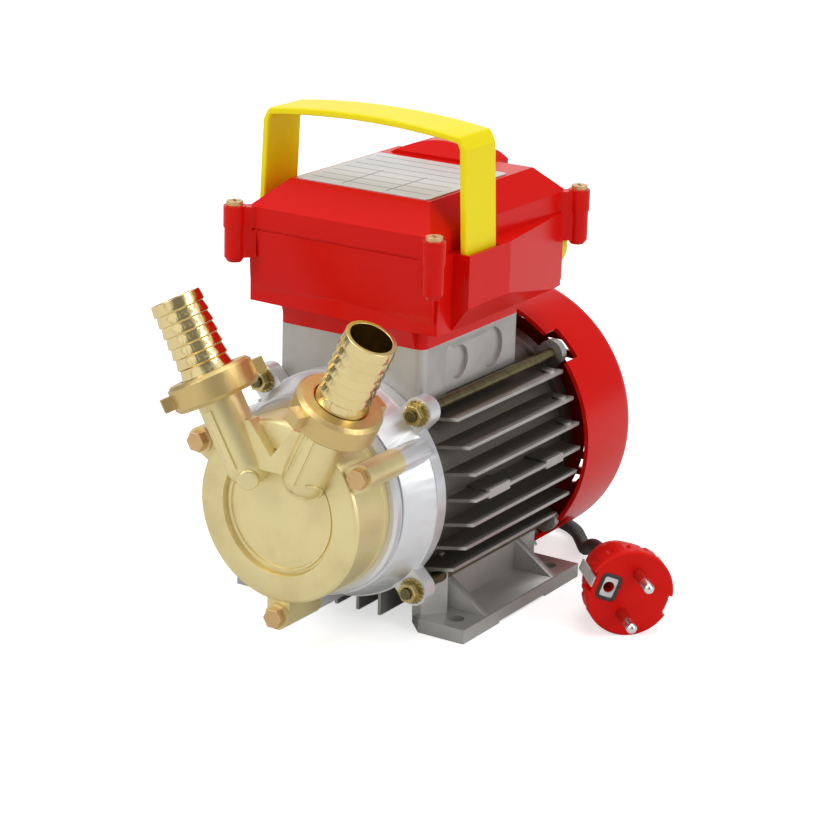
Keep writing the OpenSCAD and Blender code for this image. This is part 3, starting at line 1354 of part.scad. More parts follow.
module plug_earth() color([0.85, 0.85, 0.84]) at_plug() {
    for (s = [-1, 1]) translate([s > 0 ? plug_r - clip_notch_depth : -plug_r + clip_notch_depth - earth_t,
        earth_t, -earth_w / 2])
        cube([earth_t, earth_l, earth_w]);
    translate([-earth_plate_x - earth_plate_w / 2, earth_plate_t, 0]) rotate([90, 0, 0])
        linear_extrude(earth_plate_t)
        difference() {
            translate([0, -earth_plate_h / 2]) square([earth_plate_w, earth_plate_h]);
            translate([earth_plate_w / 2, 0]) circle(r = earth_hole_r, $fn = 48);
        }
}

function unit(v) = v / norm(v);
function heading(p, i) = unit((i == 0 ? [0, 0, 0] : unit(p[i] - p[i - 1])) + (i == len(p) - 1 ? [0, 0,
    0] : unit(p[i + 1] - p[i])));
function ring_side(p, i, ref) = unit(cross(heading(p, i), ref));

// round tube swept along points, its rings kept upright to a reference direction
module tube(p, r, n, ref) {
    rings = [for (i = [0 : len(p) - 1]) let (s = ring_side(p, i, ref), u = cross(s, heading(p, i)))
        for (k = [0 : n - 1]) p[i] + r * (cos(k * 360 / n) * s + sin(k * 360 / n) * u)];
    last = (len(p) - 1) * n;
    polyhedron(rings, concat(
        [for (i = [0 : len(p) - 2], k = [0 : n - 1]) [i * n + k, i * n + (k + 1) % n, (i + 1) * n + (k + 1)
            % n]],
        [for (i = [0 : len(p) - 2], k = [0 : n - 1]) [i * n + k, (i + 1) * n + (k + 1) % n, (i + 1) * n + k]],
        [for (k = [1 : n - 2]) [0, k + 1, k]],
        [for (k = [1 : n - 2]) [last, last + k, last + k + 1]]));
}

// radius and height of the coil after a number of turns: in, a rising half turn, then out
function coil_radius(t) = t < coil_in_turns + 0.25 ? coil_r - coil_step * t
    : coil_r - coil_step * (coil_in_turns + 0.25) + coil_step * (t - coil_in_turns - 0.25);
function coil_height(t) = coil_z + coil_rise * min(1, max(0, (t - coil_in_turns) / 0.5));
function coil_point(t) = [coil_x + coil_radius(t) * cos(t * 360), coil_y + coil_radius(t) * sin(t * 360),
    coil_height(t)];
coil_turns = coil_in_turns + 0.5 + coil_out_turns;
coil_count = floor(coil_turns * coil_rings);
coil_body = [for (i = [0 : coil_count]) coil_point(i * coil_turns / coil_count)];
coil_start = coil_body[0] - [0, cord_d, 0];
coil_tip = coil_body[coil_count] + cord_d * [-sin(coil_turns * 360), cos(coil_turns * 360), 0];
coil_path = concat([coil_start], coil_body, [coil_tip]);

// least gap between one turn and another, measured on the path's points
coil_gap = min([for (i = [0 : coil_count], j = [i + coil_rings / 2 : coil_count])
    norm(coil_body[i] - coil_body[j])]) - cord_d;
echo(coil_gap = coil_gap);

module supply_cord() color([0.08, 0.08, 0.08]) tube(drop_route, cord_r, cord_sides, [1, 0, 0]);
module cord_coil() color([0.08, 0.08, 0.08]) tube(coil_path, cord_r, coil_sides, [0, 0, 1]);
module cord_lead() color([0.08, 0.08, 0.08]) tube(concat([coil_tip], lead_route,
    [plug_axis(plug_l + plug_relief_l + cord_d), plug_axis(plug_l + plug_relief_l)]), cord_r, cord_sides,
        [0, 0, 1]);

motor_housing();
foot_left();
foot_right();
foot_screws();
front_flange();
rear_shield();
tie_rods();
tie_rod_nuts();
tie_rod_washers();
stator_core();
windings();
shaft();
rotor_core();
front_bearing_outer();
front_bearing_inner();
rear_bearing_outer();
rear_bearing_inner();
bearing_balls();
preload_washer();
seal_seat();
seal_head();
pump_backplate();
cover_o_ring();
impeller();
impeller_key();
pump_cover();
cover_bolts();
union_gaskets();
hose_tail_left();
hose_tail_right();
union_nut_left();
union_nut_right();
cooling_fan();
fan_clip();
fan_cowl();
cowl_screws();
terminal_box();
box_screws();
lead_grommet();
lid_gasket();
box_lid();
lid_screws();
rating_plate();
handle();
capacitor();
terminal_block();
terminal_studs();
motor_leads();
switch_body();
switch_knob();
cable_gland();
gland_nut();
supply_cord();
cord_coil();
cord_lead();
plug_body();
plug_pins();
plug_earth();
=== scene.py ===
import bpy
import bmesh
import json
import math
from mathutils import Matrix, Vector


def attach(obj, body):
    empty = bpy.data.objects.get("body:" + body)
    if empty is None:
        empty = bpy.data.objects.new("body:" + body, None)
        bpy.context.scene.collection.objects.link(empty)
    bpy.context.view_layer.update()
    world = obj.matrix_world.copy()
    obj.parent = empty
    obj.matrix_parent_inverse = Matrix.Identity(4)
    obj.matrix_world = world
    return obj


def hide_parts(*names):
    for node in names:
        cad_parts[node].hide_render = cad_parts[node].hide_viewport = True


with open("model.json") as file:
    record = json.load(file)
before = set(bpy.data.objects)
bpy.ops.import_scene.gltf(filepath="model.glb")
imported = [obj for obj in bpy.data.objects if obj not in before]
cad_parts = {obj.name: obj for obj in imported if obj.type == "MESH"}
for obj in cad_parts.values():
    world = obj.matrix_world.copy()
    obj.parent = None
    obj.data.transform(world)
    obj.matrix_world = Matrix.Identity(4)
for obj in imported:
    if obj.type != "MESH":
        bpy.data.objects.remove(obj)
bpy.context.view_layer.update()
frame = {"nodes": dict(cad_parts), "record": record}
nodes = frame["nodes"]
print("frame loaded:", len(nodes), "nodes")

# the camera stands where the photograph was taken from, with its own tilt
cameraLook = {
    "place": (0.6011, -0.9555, 0.4414),
    "right": (0.8416, 0.5396, 0.0268),
    "up": (-0.1862, 0.2433, 0.9520),
    "back": (0.5071, -0.8061, 0.3052),
    "lens": 115.68,
    "sensor": 36.0,
    "farEnd": 20.0,
}
shaftHeight = 0.063


def makeCamera(look):
    data = bpy.data.cameras.new("photoCamera")
    data.lens = look["lens"]
    data.sensor_width = look["sensor"]
    data.clip_end = look["farEnd"]
    cam = bpy.data.objects.new("photoCamera", data)
    bpy.context.scene.collection.objects.link(cam)
    right, up, back = (Vector(look[k]).normalized() for k in ("right", "up", "back"))
    cam.matrix_world = Matrix.Translation(look["place"]) @ Matrix((right, up, back)).transposed().to_4x4()
    bpy.context.scene.camera = cam


makeCamera(cameraLook)
print("camera placed")


class Wire:  # a socket that takes part in sums
    def __init__(self, finish, socket):
        self.finish = finish
        self.socket = socket

    def sum(self, operation, first, second):
        return self.finish.node("ShaderNodeMath", {"operation": operation}, {0: first, 1: second})

    def __add__(self, other): return self.sum("ADD", self, other)
    def __radd__(self, other): return self.sum("ADD", other, self)
    def __sub__(self, other): return self.sum("SUBTRACT", self, other)
    def __rsub__(self, other): return self.sum("SUBTRACT", other, self)
    def __mul__(self, other): return self.sum("MULTIPLY", self, other)
    def __rmul__(self, other): return self.sum("MULTIPLY", other, self)
    def __pow__(self, other): return self.sum("POWER", self, other)
    def __gt__(self, other): return self.sum("GREATER_THAN", self, other)
    def __lt__(self, other): return self.sum("LESS_THAN", self, other)


class Finish:  # one material, or the world, and the nodes behind it
    def __init__(self, name, world=None):
        self.material = world or bpy.data.materials.new(name)
        self.material.use_nodes = True
        self.tree = self.material.node_tree
        self.tree.nodes.clear()
        self.place = self.node("ShaderNodeTexCoord", out="Generated" if world else "Object")

    def node(self, kind, settings=None, inputs=None, out=0):
        made = self.tree.nodes.new(kind)
        for key, value in (settings or {}).items():
            setattr(made, key, value)
        for key, value in (inputs or {}).items():
            if isinstance(value, Wire):
                self.tree.links.new(value.socket, made.inputs[key])
            else:
                made.inputs[key].default_value = value
        return Wire(self, made.outputs[out]) if len(made.outputs) else None

    def noise(self, scale, detail=3.0, roughness=0.55, place=None):
        return self.node("ShaderNodeTexNoise", {}, {"Vector": place or self.place, "Scale": scale,
                         "Detail": detail, "Roughness": roughness}, "Fac")

    def axes(self):
        outs = self.node("ShaderNodeSeparateXYZ", {}, {0: self.place}).socket.node.outputs
        return Wire(self, outs[0]), Wire(self, outs[1]), Wire(self, outs[2])

    def along(self, value):  # a place that changes only with one value, for rings and brushed lines
        return self.node("ShaderNodeCombineXYZ", {}, {0: value, 1: 0.0, 2: 0.0})

    def smooth(self, value, low, high):
        return self.node("ShaderNodeMapRange", {"interpolation_type": "SMOOTHSTEP"},
                         {0: value, 1: low, 2: high, 3: 0.0, 4: 1.0})

    def largest(self, first, *others):
        for other in others:
            first = self.node("ShaderNodeMath", {"operation": "MAXIMUM"}, {0: first, 1: other})
        return first

    def mix(self, factor, first, second):
        made = self.tree.nodes.new("ShaderNodeMix")
        made.data_type = "RGBA"
        for socket, value in ((made.inputs[0], factor), (made.inputs[6], first), (made.inputs[7], second)):
            if isinstance(value, Wire):
                self.tree.links.new(value.socket, socket)
            else:
                socket.default_value = (*value, 1.0) if isinstance(value, tuple) else value
        return Wire(self, made.outputs[2])

    def bump(self, height, distance, strength):
        return self.node("ShaderNodeBump", {}, {"Strength": strength, "Distance": distance, "Height": height})

    def surface(self, colour, roughness, metallic=0.0, normal=None, **more):
        inputs = {"Base Color": colour if isinstance(colour, Wire) else (*colour, 1.0),
                  "Roughness": roughness, "Metallic": metallic}
        if normal:
            inputs["Normal"] = normal
        inputs.update({key.replace("_", " "): value for key, value in more.items()})
        bsdf = self.node("ShaderNodeBsdfPrincipled", {}, inputs)
        self.node("ShaderNodeOutputMaterial", {}, {0: bsdf})
        return self.material


def radiusFromShaft(finish):
    x, y, z = finish.axes()
    up = z - shaftHeight
    return (x * x + up * up) ** 0.5


def castGrey():
    # die-cast aluminium with painted shade: dark towards the shaft and between the fins; fin tips, pedestal top
    # and feet keep the plain face colour so they read lighter; random rubbed grains and cloudy blotches on top
    look = {"paintedShadeAndBlotch": (0.150, 0.138, 0.115), "face": (0.52, 0.515, 0.495), "rub": (0.66, 0.66, 0.645),
            "finShadeFade": (0.0563, 0.0592), "pedestal": (0.1005, 0.1045), "feet": (0.014, 0.026), "ragged": 0.0016}
    f = Finish("castGrey")
    x, y, z = f.axes()
    grain = f.noise(900.0, 4.0)
    cloud = f.noise(38.0, 3.0)
    # painted shade mask: 0 between the fins and nearer the shaft, 1 at the fin tips, above the pedestal line and
    # down at the feet
    clearOfFinShade = f.smooth(radiusFromShaft(f) + (cloud - 0.5) * look["ragged"], *look["finShadeFade"])
    high = f.smooth(z, *look["pedestal"])
    low = 1.0 - f.smooth(z, *look["feet"])
    base = f.mix(f.largest(clearOfFinShade, high, low), look["paintedShadeAndBlotch"], look["face"])
    base = f.mix((grain > 0.66) * 0.12, base, look["rub"])
    base = f.mix(f.smooth(cloud, 0.35, 0.75) * 0.22, base, look["paintedShadeAndBlotch"])
    normal = f.bump(grain + cloud * 0.6, 0.00012, 0.55)
    return f.surface(base, 0.40 + grain * 0.18, 0.78, normal)


def brightAluminium():
    look = {"face": (0.80, 0.81, 0.83), "shade": (0.60, 0.61, 0.63)}
    f = Finish("brightAluminium")
    ring = f.noise(1400.0, 2.0, place=f.along(radiusFromShaft(f)))
    cloud = f.noise(30.0, 3.0)
    base = f.mix(f.smooth(cloud, 0.35, 0.8) * 0.4, look["face"], look["shade"])
    normal = f.bump(ring + f.noise(1200.0), 0.00005, 0.35)
    return f.surface(base, 0.30 + cloud * 0.14, 0.62, normal)


def castBrass(name="castBrass", face=(0.82, 0.705, 0.365), dark=(0.52, 0.38, 0.16), rough=0.33):
    # sand cast and blasted: a fine even grain, a little darker in hollows
    f = Finish(name)
    grain = f.noise(1500.0, 4.0, 0.6)
    cloud = f.noise(45.0, 4.0)
    base = f.mix(f.smooth(cloud, 0.42, 0.85) * 0.45, face, dark)
    base = f.mix((grain > 0.64) * 0.25, base, (0.92, 0.86, 0.55))  # bright grains
    normal = f.bump(grain + cloud * 0.5, 0.00009, 0.6)
    return f.surface(base, rough + grain * 0.16, 0.72, normal)


def machinedBrass():
    look = {"face": (0.83, 0.68, 0.34), "tarnish": (0.62, 0.46, 0.18)}
    f = Finish("machinedBrass")
    grain = f.noise(2200.0, 2.0)
    cloud = f.noise(60.0, 3.0)
    base = f.mix(f.smooth(cloud, 0.4, 0.8) * 0.35, look["face"], look["tarnish"])
    return f.surface(base, 0.11 + cloud * 0.10, 1.0, f.bump(grain, 0.000006, 0.3))


def glossRed(name="glossRed", face=(0.72, 0.006, 0.003), rough=0.21, shine=0.15):
    f = Finish(name)
    peel = f.noise(260.0, 2.0)
    cloud = f.noise(18.0, 3.0)
    dust = f.noise(2400.0, 2.0)
    base = f.mix(f.smooth(cloud, 0.3, 0.8) * 0.25, face, (face[0] * 0.82, face[1] * 0.7, face[2] * 0.7))
    base = f.mix((dust > 0.72) * 0.06, base, (0.80, 0.06, 0.04))  # specks of dust
    normal = f.bump(peel, 0.00006, 0.22)
    return f.surface(base, rough + cloud * 0.06, 0.0, normal, Specular_IOR_Level=shine)


def strapYellow():
    look = {"face": (0.95, 0.80, 0.006), "shade": (0.92, 0.70, 0.004)}
    f = Finish("strapYellow")
    cloud = f.noise(40.0, 3.0)
    grain = f.noise(1800.0, 3.0)
    base = f.mix(f.smooth(cloud, 0.35, 0.8) * 0.3, look["face"], look["shade"])
    return f.surface(base, 0.32 + grain * 0.10, 0.0, f.bump(grain, 0.00004, 0.4), Specular_IOR_Level=0.18)


def platedSteel(name, face, other, rough):
    f = Finish(name)
    cloud = f.noise(240.0, 3.0)
    scratch = f.noise(3000.0, 2.0)
    base = f.mix(f.smooth(cloud, 0.35, 0.7), face, other)
    return f.surface(base, rough + scratch * 0.12, 0.95, f.bump(scratch, 0.00002, 0.35))


def matt(name, face, other, rough, grainSize=1500.0, metallic=0.0):
    f = Finish(name)
    grain = f.noise(grainSize, 3.0)
    base = f.mix(f.smooth(f.noise(60.0), 0.35, 0.75), face, other)
    return f.surface(base, rough + grain * 0.12, metallic, f.bump(grain, 0.00004, 0.4))


def pinSteel():
    # the roots of the pins are sleeved in the plug's red
    look = {"swing": math.radians(42.8), "sleeve": 0.0105, "red": (0.42, 0.010, 0.006),
            "metal": (0.74, 0.75, 0.76), "plug": (0.1125, 0.001)}
    f = Finish("pinSteel")
    x, y, z = f.axes()
    sideways = (x - look["plug"][0]) * math.sin(look["swing"])
    forward = (y - look["plug"][1]) * math.cos(look["swing"])
    bare = (sideways - forward) > look["sleeve"]
    base = f.mix(bare, look["red"], look["metal"])
    return f.surface(base, 0.34 - bare * 0.16, bare * 0.95, f.bump(f.noise(2500.0), 0.00001, 0.3))


def labelSilver():
    # a bare plate with plain ruled lines, no words
    look = {"face": (0.66, 0.66, 0.65), "ink": (0.20, 0.20, 0.21), "line": 0.0005, "rows": 0.0042,
            "columns": 0.0111, "edge": (0.0334, 0.0475), "ruledX": (-0.0300, 0.0300),
            "ruledY": (-0.0440, 0.0145), "columnsTo": -0.012}
    f = Finish("labelSilver")
    x, y, z = f.axes()
    fold = {"operation": "PINGPONG"}
    row = f.node("ShaderNodeMath", fold, {0: y + look["edge"][1], 1: look["rows"]})
    column = f.node("ShaderNodeMath", fold, {0: x + look["edge"][0], 1: look["columns"]})
    inside = (x > look["ruledX"][0]) * (x < look["ruledX"][1]) * (y > look["ruledY"][0]) * (y < look["ruledY"][1])
    lines = f.largest(row < look["line"], (column < look["line"]) * (y < look["columnsTo"]))
    base = f.mix(lines * inside * 0.8, look["face"], look["ink"])
    brushed = f.noise(900.0, 2.0, place=f.along(y))
    return f.surface(base, 0.33 + brushed * 0.12, 0.35, f.bump(brushed, 0.00002, 0.3))


finishes = {
    "castGrey": castGrey(),
    "brightAluminium": brightAluminium(),
    "castBrass": castBrass(),
    "nutBrass": castBrass("nutBrass", (0.66, 0.49, 0.20), (0.40, 0.26, 0.08), 0.28),
    "boltBrass": castBrass("boltBrass", (0.70, 0.46, 0.22), (0.45, 0.27, 0.10), 0.24),
    "machinedBrass": machinedBrass(),
    "glossRed": glossRed(),
    "plugRed": glossRed("plugRed", (0.74, 0.008, 0.004), 0.34, 0.12),
    "fanRed": glossRed("fanRed", (0.26, 0.005, 0.003), 0.40, 0.15),
    "pinSteel": pinSteel(),
    "strapYellow": strapYellow(),
    "yellowZinc": platedSteel("yellowZinc", (0.62, 0.50, 0.20), (0.42, 0.34, 0.15), 0.22),
    "rodOlive": platedSteel("rodOlive", (0.20, 0.17, 0.085), (0.13, 0.115, 0.06), 0.30),
    "washerDark": platedSteel("washerDark", (0.46, 0.38, 0.17), (0.26, 0.22, 0.11), 0.24),
    "zinc": platedSteel("zinc", (0.66, 0.67, 0.68), (0.5, 0.51, 0.52), 0.26),
    "steel": platedSteel("bearingSteel", (0.74, 0.75, 0.76), (0.62, 0.63, 0.64), 0.14),
    "lamination": platedSteel("lamination", (0.34, 0.34, 0.36), (0.24, 0.24, 0.25), 0.45),
    "copper": matt("enamelledCopper", (0.60, 0.20, 0.06), (0.42, 0.12, 0.03), 0.30, 2500.0, 0.6),
    "rubber": matt("blackRubber", (0.018, 0.018, 0.018), (0.030, 0.029, 0.028), 0.48),
    "blackPlastic": matt("blackPlastic", (0.022, 0.022, 0.024), (0.035, 0.035, 0.036), 0.38),
    "ceramic": matt("sealCeramic", (0.80, 0.79, 0.74), (0.72, 0.71, 0.66), 0.25),
    "carbon": matt("sealCarbon", (0.04, 0.04, 0.045), (0.06, 0.06, 0.06), 0.4),
    "label": labelSilver(),
    "earthPale": matt("earthPale", (0.78, 0.78, 0.76), (0.66, 0.66, 0.64), 0.3, 2000.0, 0.3),
    "wireBlue": matt("wireBlue", (0.04, 0.08, 0.42), (0.03, 0.06, 0.34), 0.35),
    "capGrey": matt("capGrey", (0.62, 0.62, 0.60), (0.54, 0.54, 0.52), 0.4),
}
print("finishes made:", len(finishes))

nodeFinish = {
    "motor_housing": "castGrey", "foot_left": "castGrey", "foot_right": "castGrey", "foot_screws": "zinc",
    "front_flange": "brightAluminium", "rear_shield": "castGrey", "tie_rods": "rodOlive",
    "tie_rod_nuts": "yellowZinc", "tie_rod_washers": "yellowZinc", "stator_core": "lamination",
    "windings": "copper", "shaft": "steel", "rotor_core": "lamination", "front_bearing_outer": "steel",
    "front_bearing_inner": "steel", "rear_bearing_outer": "steel", "rear_bearing_inner": "steel",
    "bearing_balls": "steel", "preload_washer": "zinc", "seal_seat": "ceramic", "seal_head": "carbon",
    "pump_backplate": "castBrass", "cover_o_ring": "rubber", "impeller": "machinedBrass",
    "impeller_key": "zinc", "pump_cover": "castBrass", "cover_bolts": "boltBrass", "union_gaskets": "rubber",
    "hose_tail_left": "machinedBrass", "hose_tail_right": "machinedBrass", "union_nut_left": "nutBrass",
    "union_nut_right": "nutBrass", "cooling_fan": "fanRed", "fan_clip": "zinc", "fan_cowl": "glossRed",
    "cowl_screws": "zinc", "terminal_box": "glossRed", "box_screws": "zinc", "lead_grommet": "rubber",
    "lid_gasket": "rubber", "box_lid": "glossRed", "lid_screws": "boltBrass", "rating_plate": "label",
    "handle": "strapYellow", "capacitor": "capGrey", "terminal_block": "blackPlastic",
    "terminal_studs": "machinedBrass", "motor_leads": "wireBlue", "switch_body": "blackPlastic",
    "switch_knob": "strapYellow", "cable_gland": "rubber", "gland_nut": "blackPlastic",
    "supply_cord": "rubber", "cord_coil": "rubber", "cord_lead": "rubber", "plug_body": "plugRed",
    "plug_pins": "pinSteel", "plug_earth": "earthPale",
}
for name, finishName in nodeFinish.items():
    mesh = nodes[name].data
    mesh.materials.clear()
    mesh.materials.append(finishes[finishName])
print("CAD nodes dressed")

bodyOf = {n: b for b, names in frame["record"]["behaviour"]["bodies"].items() for n in names}


# cord: the drop behind the motor, the put-away coil, and the lead to the plug, in millimetres
cordLook = {
    "diameter": 6.5,
    "drop": [(-20, 80, 150), (-20, 87, 150), (-20, 98, 147), (-20, 109, 140), (-20, 117, 129),
             (-20, 121, 115), (-20, 122, 98), (-20, 122, 80), (-20, 122, 62), (-20, 122, 46), (-19.7, 122.1, 33),
             (-19.3, 123, 24.2), (-18.8, 125.8, 17.4), (-18.4, 130.2, 11.6), (-18.1, 136, 7.2),
             (-18, 142.7, 4.4), (-18, 150, 3.45)],
    "lead": [(-54, 112.6, 10.2), (-40, 110.5, 10.2), (-27, 108.6, 8.2), (-14, 107, 5.2), (-2, 105.7, 3.7),
             (10, 104, 3.45), (22, 101, 3.45), (33, 95, 3.45), (42, 85, 3.45), (50, 74, 4.8), (57.5, 63, 9.5),
             (66, 52, 16), (76.15, 40.25, 19.5), (80.57, 35.48, 19.5)],
    "coil": {"centre": (-60, 158), "floor": 3.4, "radius": 42, "step": 7.2, "rise": 6.95,
             "turnsIn": 2, "turnsUp": 0.5, "turnsOut": 2.222, "perTurn": 24},
    "length": 1.40,
}


def coilPoints(c):
    # the turns go in, rise to the second layer over half a turn, and come out again
    turns = c["turnsIn"] + c["turnsUp"] + c["turnsOut"]
    count = int(turns * c["perTurn"])
    inner = c["turnsIn"] + c["turnsUp"] / 2
    points = []
    for i in range(count + 1):
        t = i * turns / count
        r = c["radius"] - c["step"] * (t if t < inner else 2 * inner - t)
        x = c["centre"][0] + r * math.cos(t * 2 * math.pi)
        y = c["centre"][1] + r * math.sin(t * 2 * math.pi)
        z = c["floor"] + c["rise"] * min(1.0, max(0.0, (t - c["turnsIn"]) / c["turnsUp"]))
        points.append((x, y, z))
    return points


def makeCord(look):
    points = [Vector(p) * 0.001 for p in look["drop"] + coilPoints(look["coil"]) + look["lead"]]
    curve = bpy.data.curves.new("mainsCord", "CURVE")
    curve.dimensions = "3D"
    curve.bevel_depth = look["diameter"] / 2000
    curve.bevel_resolution = 4
    curve.use_fill_caps = True
    curve.resolution_u = 4
    spline = curve.splines.new("BEZIER")
    spline.bezier_points.add(len(points) - 1)
    for spot, p in zip(spline.bezier_points, points):
        spot.co = p
        spot.handle_left_type = spot.handle_right_type = "AUTO"
    curve.materials.append(finishes["rubber"])
    cord = bpy.data.objects.new("mainsCord", curve)
    bpy.context.scene.collection.objects.link(cord)
    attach(cord, "pump_set")
    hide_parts("supply_cord", "cord_coil", "cord_lead")
    return cord


mainsCord = makeCord(cordLook)
print("cord laid")


# CAD solids with their edges broken, as castings and mouldings have them: width, rounds, smoothed angle
edgeBreak = {
    "motor_housing": (0.0007, 2), "foot_left": (0.0008, 2), "foot_right": (0.0008, 2),
    "front_flange": (0.0006, 2), "rear_shield": (0.0006, 2), "tie_rods": (0.0003, 2), "tie_rod_nuts": (0.0004, 2),
    "pump_backplate": (0.0003, 2), "pump_cover": (0.0009, 3), "cover_bolts": (0.0005, 2),
    "hose_tail_left": (0.0002, 2), "hose_tail_right": (0.0002, 2), "union_nut_left": (0.0008, 3),
    "union_nut_right": (0.0008, 3), "fan_cowl": (0.0006, 2), "cowl_screws": (0.0003, 2),
    "terminal_box": (0.0009, 3, 14), "box_lid": (0.0010, 3, 14), "lid_screws": (0.0003, 2),
    "rating_plate": (0.0001, 1), "handle": (0.0009, 3), "switch_knob": (0.0008, 3), "cable_gland": (0.0005, 2),
    "plug_body": (0.0006, 2), "plug_pins": (0.0002, 1), "plug_earth": (0.0001, 1),
    "tie_rod_washers": (0.0001, 1), "cooling_fan": (0.0003, 2),
}
meshCare = {"weld": 2e-6, "sliver": 1e-6, "flat": math.radians(1.0), "corner": math.radians(40)}


def shadeRound(mesh, smoothUpTo=32):
    for face in mesh.polygons:
        face.use_smooth = True
    mesh.set_sharp_from_angle(angle=math.radians(smoothUpTo))


def bevelEdges(piece, width, rounds, corner):
    edge = piece.modifiers.new("edgeBreak", "BEVEL")
    edge.width = width
    edge.segments = rounds
    edge.limit_method = "ANGLE"
    edge.angle_limit = corner
    return edge


def breakEdges(name, width, rounds, smoothUpTo=32):
    mesh = nodes[name].data.copy()
    mesh.name = name + "Form"
    work = bmesh.new()
    work.from_mesh(mesh)
    bmesh.ops.remove_doubles(work, verts=work.verts, dist=meshCare["weld"])
    bmesh.ops.dissolve_degenerate(work, dist=meshCare["sliver"], edges=work.edges)
    bmesh.ops.dissolve_limit(work, angle_limit=meshCare["flat"], verts=work.verts, edges=work.edges)
    work.to_mesh(mesh)
    work.free()
    shadeRound(mesh, smoothUpTo)
    piece = bpy.data.objects.new(name + "_form", mesh)
    bpy.context.scene.collection.objects.link(piece)
    edge = bevelEdges(piece, width, rounds, meshCare["corner"])
    edge.harden_normals = True
    edge.use_clamp_overlap = True
    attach(piece, bodyOf[name])
    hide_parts(name)
    return piece


forms = {name: breakEdges(name, *sizes) for name, sizes in edgeBreak.items()}
print("edges broken on", len(forms), "pieces")


class Growth:  # a Geometry Nodes tree with named sizes, baked to a plain mesh
    def __init__(self, name, sizes):
        self.name = name
        self.sizes = sizes
        self.tree = bpy.data.node_groups.new(name + "Tree", "GeometryNodeTree")
        face = self.tree.interface
        face.new_socket("Geometry", in_out="OUTPUT", socket_type="NodeSocketGeometry")
        face.new_socket("Geometry", in_out="INPUT", socket_type="NodeSocketGeometry")
        self.keys = {}
        for key, value in sizes.items():
            kind = "NodeSocketInt" if isinstance(value, int) else "NodeSocketFloat"
            self.keys[key] = face.new_socket(key, in_out="INPUT", socket_type=kind).identifier
        self.given = self.tree.nodes.new("NodeGroupInput").outputs

    def node(self, kind, settings=None, inputs=None, out=0):
        made = self.tree.nodes.new(kind)
        for key, value in (settings or {}).items():
            setattr(made, key, value)
        for key, value in (inputs or {}).items():
            if isinstance(value, bpy.types.NodeSocket):
                self.tree.links.new(value, made.inputs[key])
            else:
                made.inputs[key].default_value = value
        return made.outputs[out]

    def sweep(self, line, caps=True):  # a round bar along a line, its thickness and sides from the sizes
        ring = self.node("GeometryNodeCurvePrimitiveCircle", {}, {"Resolution": self.given["sides"],
                         "Radius": self.given["thick"]})
        return self.node("GeometryNodeCurveToMesh", {}, {"Curve": line, "Profile Curve": ring, "Fill Caps": caps})

    def bake(self, shape, finishName, start=None, turn=None):
        solid = self.node("GeometryNodeRealizeInstances", {}, {0: shape})
        dressed = self.node("GeometryNodeSetMaterial", {},
                            {"Geometry": solid, "Material": finishes[finishName]})
        self.tree.links.new(dressed, self.tree.nodes.new("NodeGroupOutput").inputs[0])
        piece = bpy.data.objects.new(self.name, start or bpy.data.meshes.new(self.name + "Start"))
        bpy.context.scene.collection.objects.link(piece)
        grow = piece.modifiers.new("grow", "NODES")
        grow.node_group = self.tree
        for key, socketName in self.keys.items():
            grow[socketName] = self.sizes[key]
        bpy.context.view_layer.update()
        mesh = bpy.data.meshes.new_from_object(piece.evaluated_get(bpy.context.evaluated_depsgraph_get()))
        piece.modifiers.clear()
        if turn:
            mesh.transform(turn)
        mesh.name = self.name
        piece.data = mesh
        return piece


# toothed lock washers under the tie rod nuts
lockWasher = {
    "sizes": {"rods": 4, "teeth": 18, "rodCircle": 0.0561, "toothCircle": 0.0052, "toothLength": 0.0011,
              "toothWidth": 0.0010, "thick": 0.0008},
    "shaft": (0.0, -0.0604, shaftHeight),
    "firstRod": math.radians(45),
    "twist": (0.5, 0.0, 0.25),
}
upToFront = Matrix.Rotation(math.radians(90), 4, "X")


def makeLockWashers(look):
    g = Growth("lock_washers", look["sizes"])
    toothSize = g.node("ShaderNodeCombineXYZ", {}, {0: g.given["toothLength"], 1: g.given["toothWidth"],
                       2: g.given["thick"]})
    tooth = g.node("GeometryNodeMeshCube", {}, {"Size": toothSize})
    ring = g.node("GeometryNodeMeshCircle", {}, {"Vertices": g.given["teeth"], "Radius": g.given["toothCircle"]})
    spot = g.node("GeometryNodeInputPosition")
    outward = g.node("FunctionNodeAlignEulerToVector", {"axis": "X"}, {"Vector": spot})
    lean = g.node("FunctionNodeRotateEuler", {"rotation_type": "EULER", "space": "LOCAL"},
                  {"Rotation": outward, "Rotate By": look["twist"]})
    washer = g.node("GeometryNodeInstanceOnPoints", {}, {"Points": ring, "Instance": tooth, "Rotation": lean})
    rods = g.node("GeometryNodeMeshCircle", {}, {"Vertices": g.given["rods"], "Radius": g.given["rodCircle"]})
    rods = g.node("GeometryNodeTransform", {}, {"Geometry": rods, "Rotation": (0.0, 0.0, look["firstRod"])})
    washers = g.node("GeometryNodeInstanceOnPoints", {}, {"Points": rods, "Instance": washer})
    piece = g.bake(washers, "washerDark", None, Matrix.Translation(look["shaft"]) @ upToFront)
    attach(piece, bodyOf["tie_rod_washers"])
    return piece


makeLockWashers(lockWasher)
print("lock washers grown")


# cast ridges on the ports, drawn as (round the pipe, up the pipe) in millimetres from its front
portRidge = {
    "foot": (14.7, -105.1, 82.2), "tilt": math.radians(27.2), "lean": math.radians(4.0), "radius": 9.8,
    "steps": 6,
    "rightLoop": [(-5.5, 3), (-5.5, 20), (-4.9, 23), (-3.6, 24.2), (-2.4, 23), (-2.1, 20), (-2.1, 7)],
    "rightHook": [(0.1, -4.2), (2.5, -5), (5.3, -4.7), (8, -3.8)],
    "rightArc": [(5.7, 2.6), (10.1, 3), (13.5, 1.5), (15.2, -1.5), (15.5, -4)],
    "leftLoop": [(-1.6, 4), (-2.4, 8), (-2.4, 19), (-1.6, 22), (-0.4, 23), (0.6, 20), (0.6, 9), (-0.2, 5),
                 (-1.6, 4)],
    "sizes": {"thick": 0.0008, "sides": 10},
}


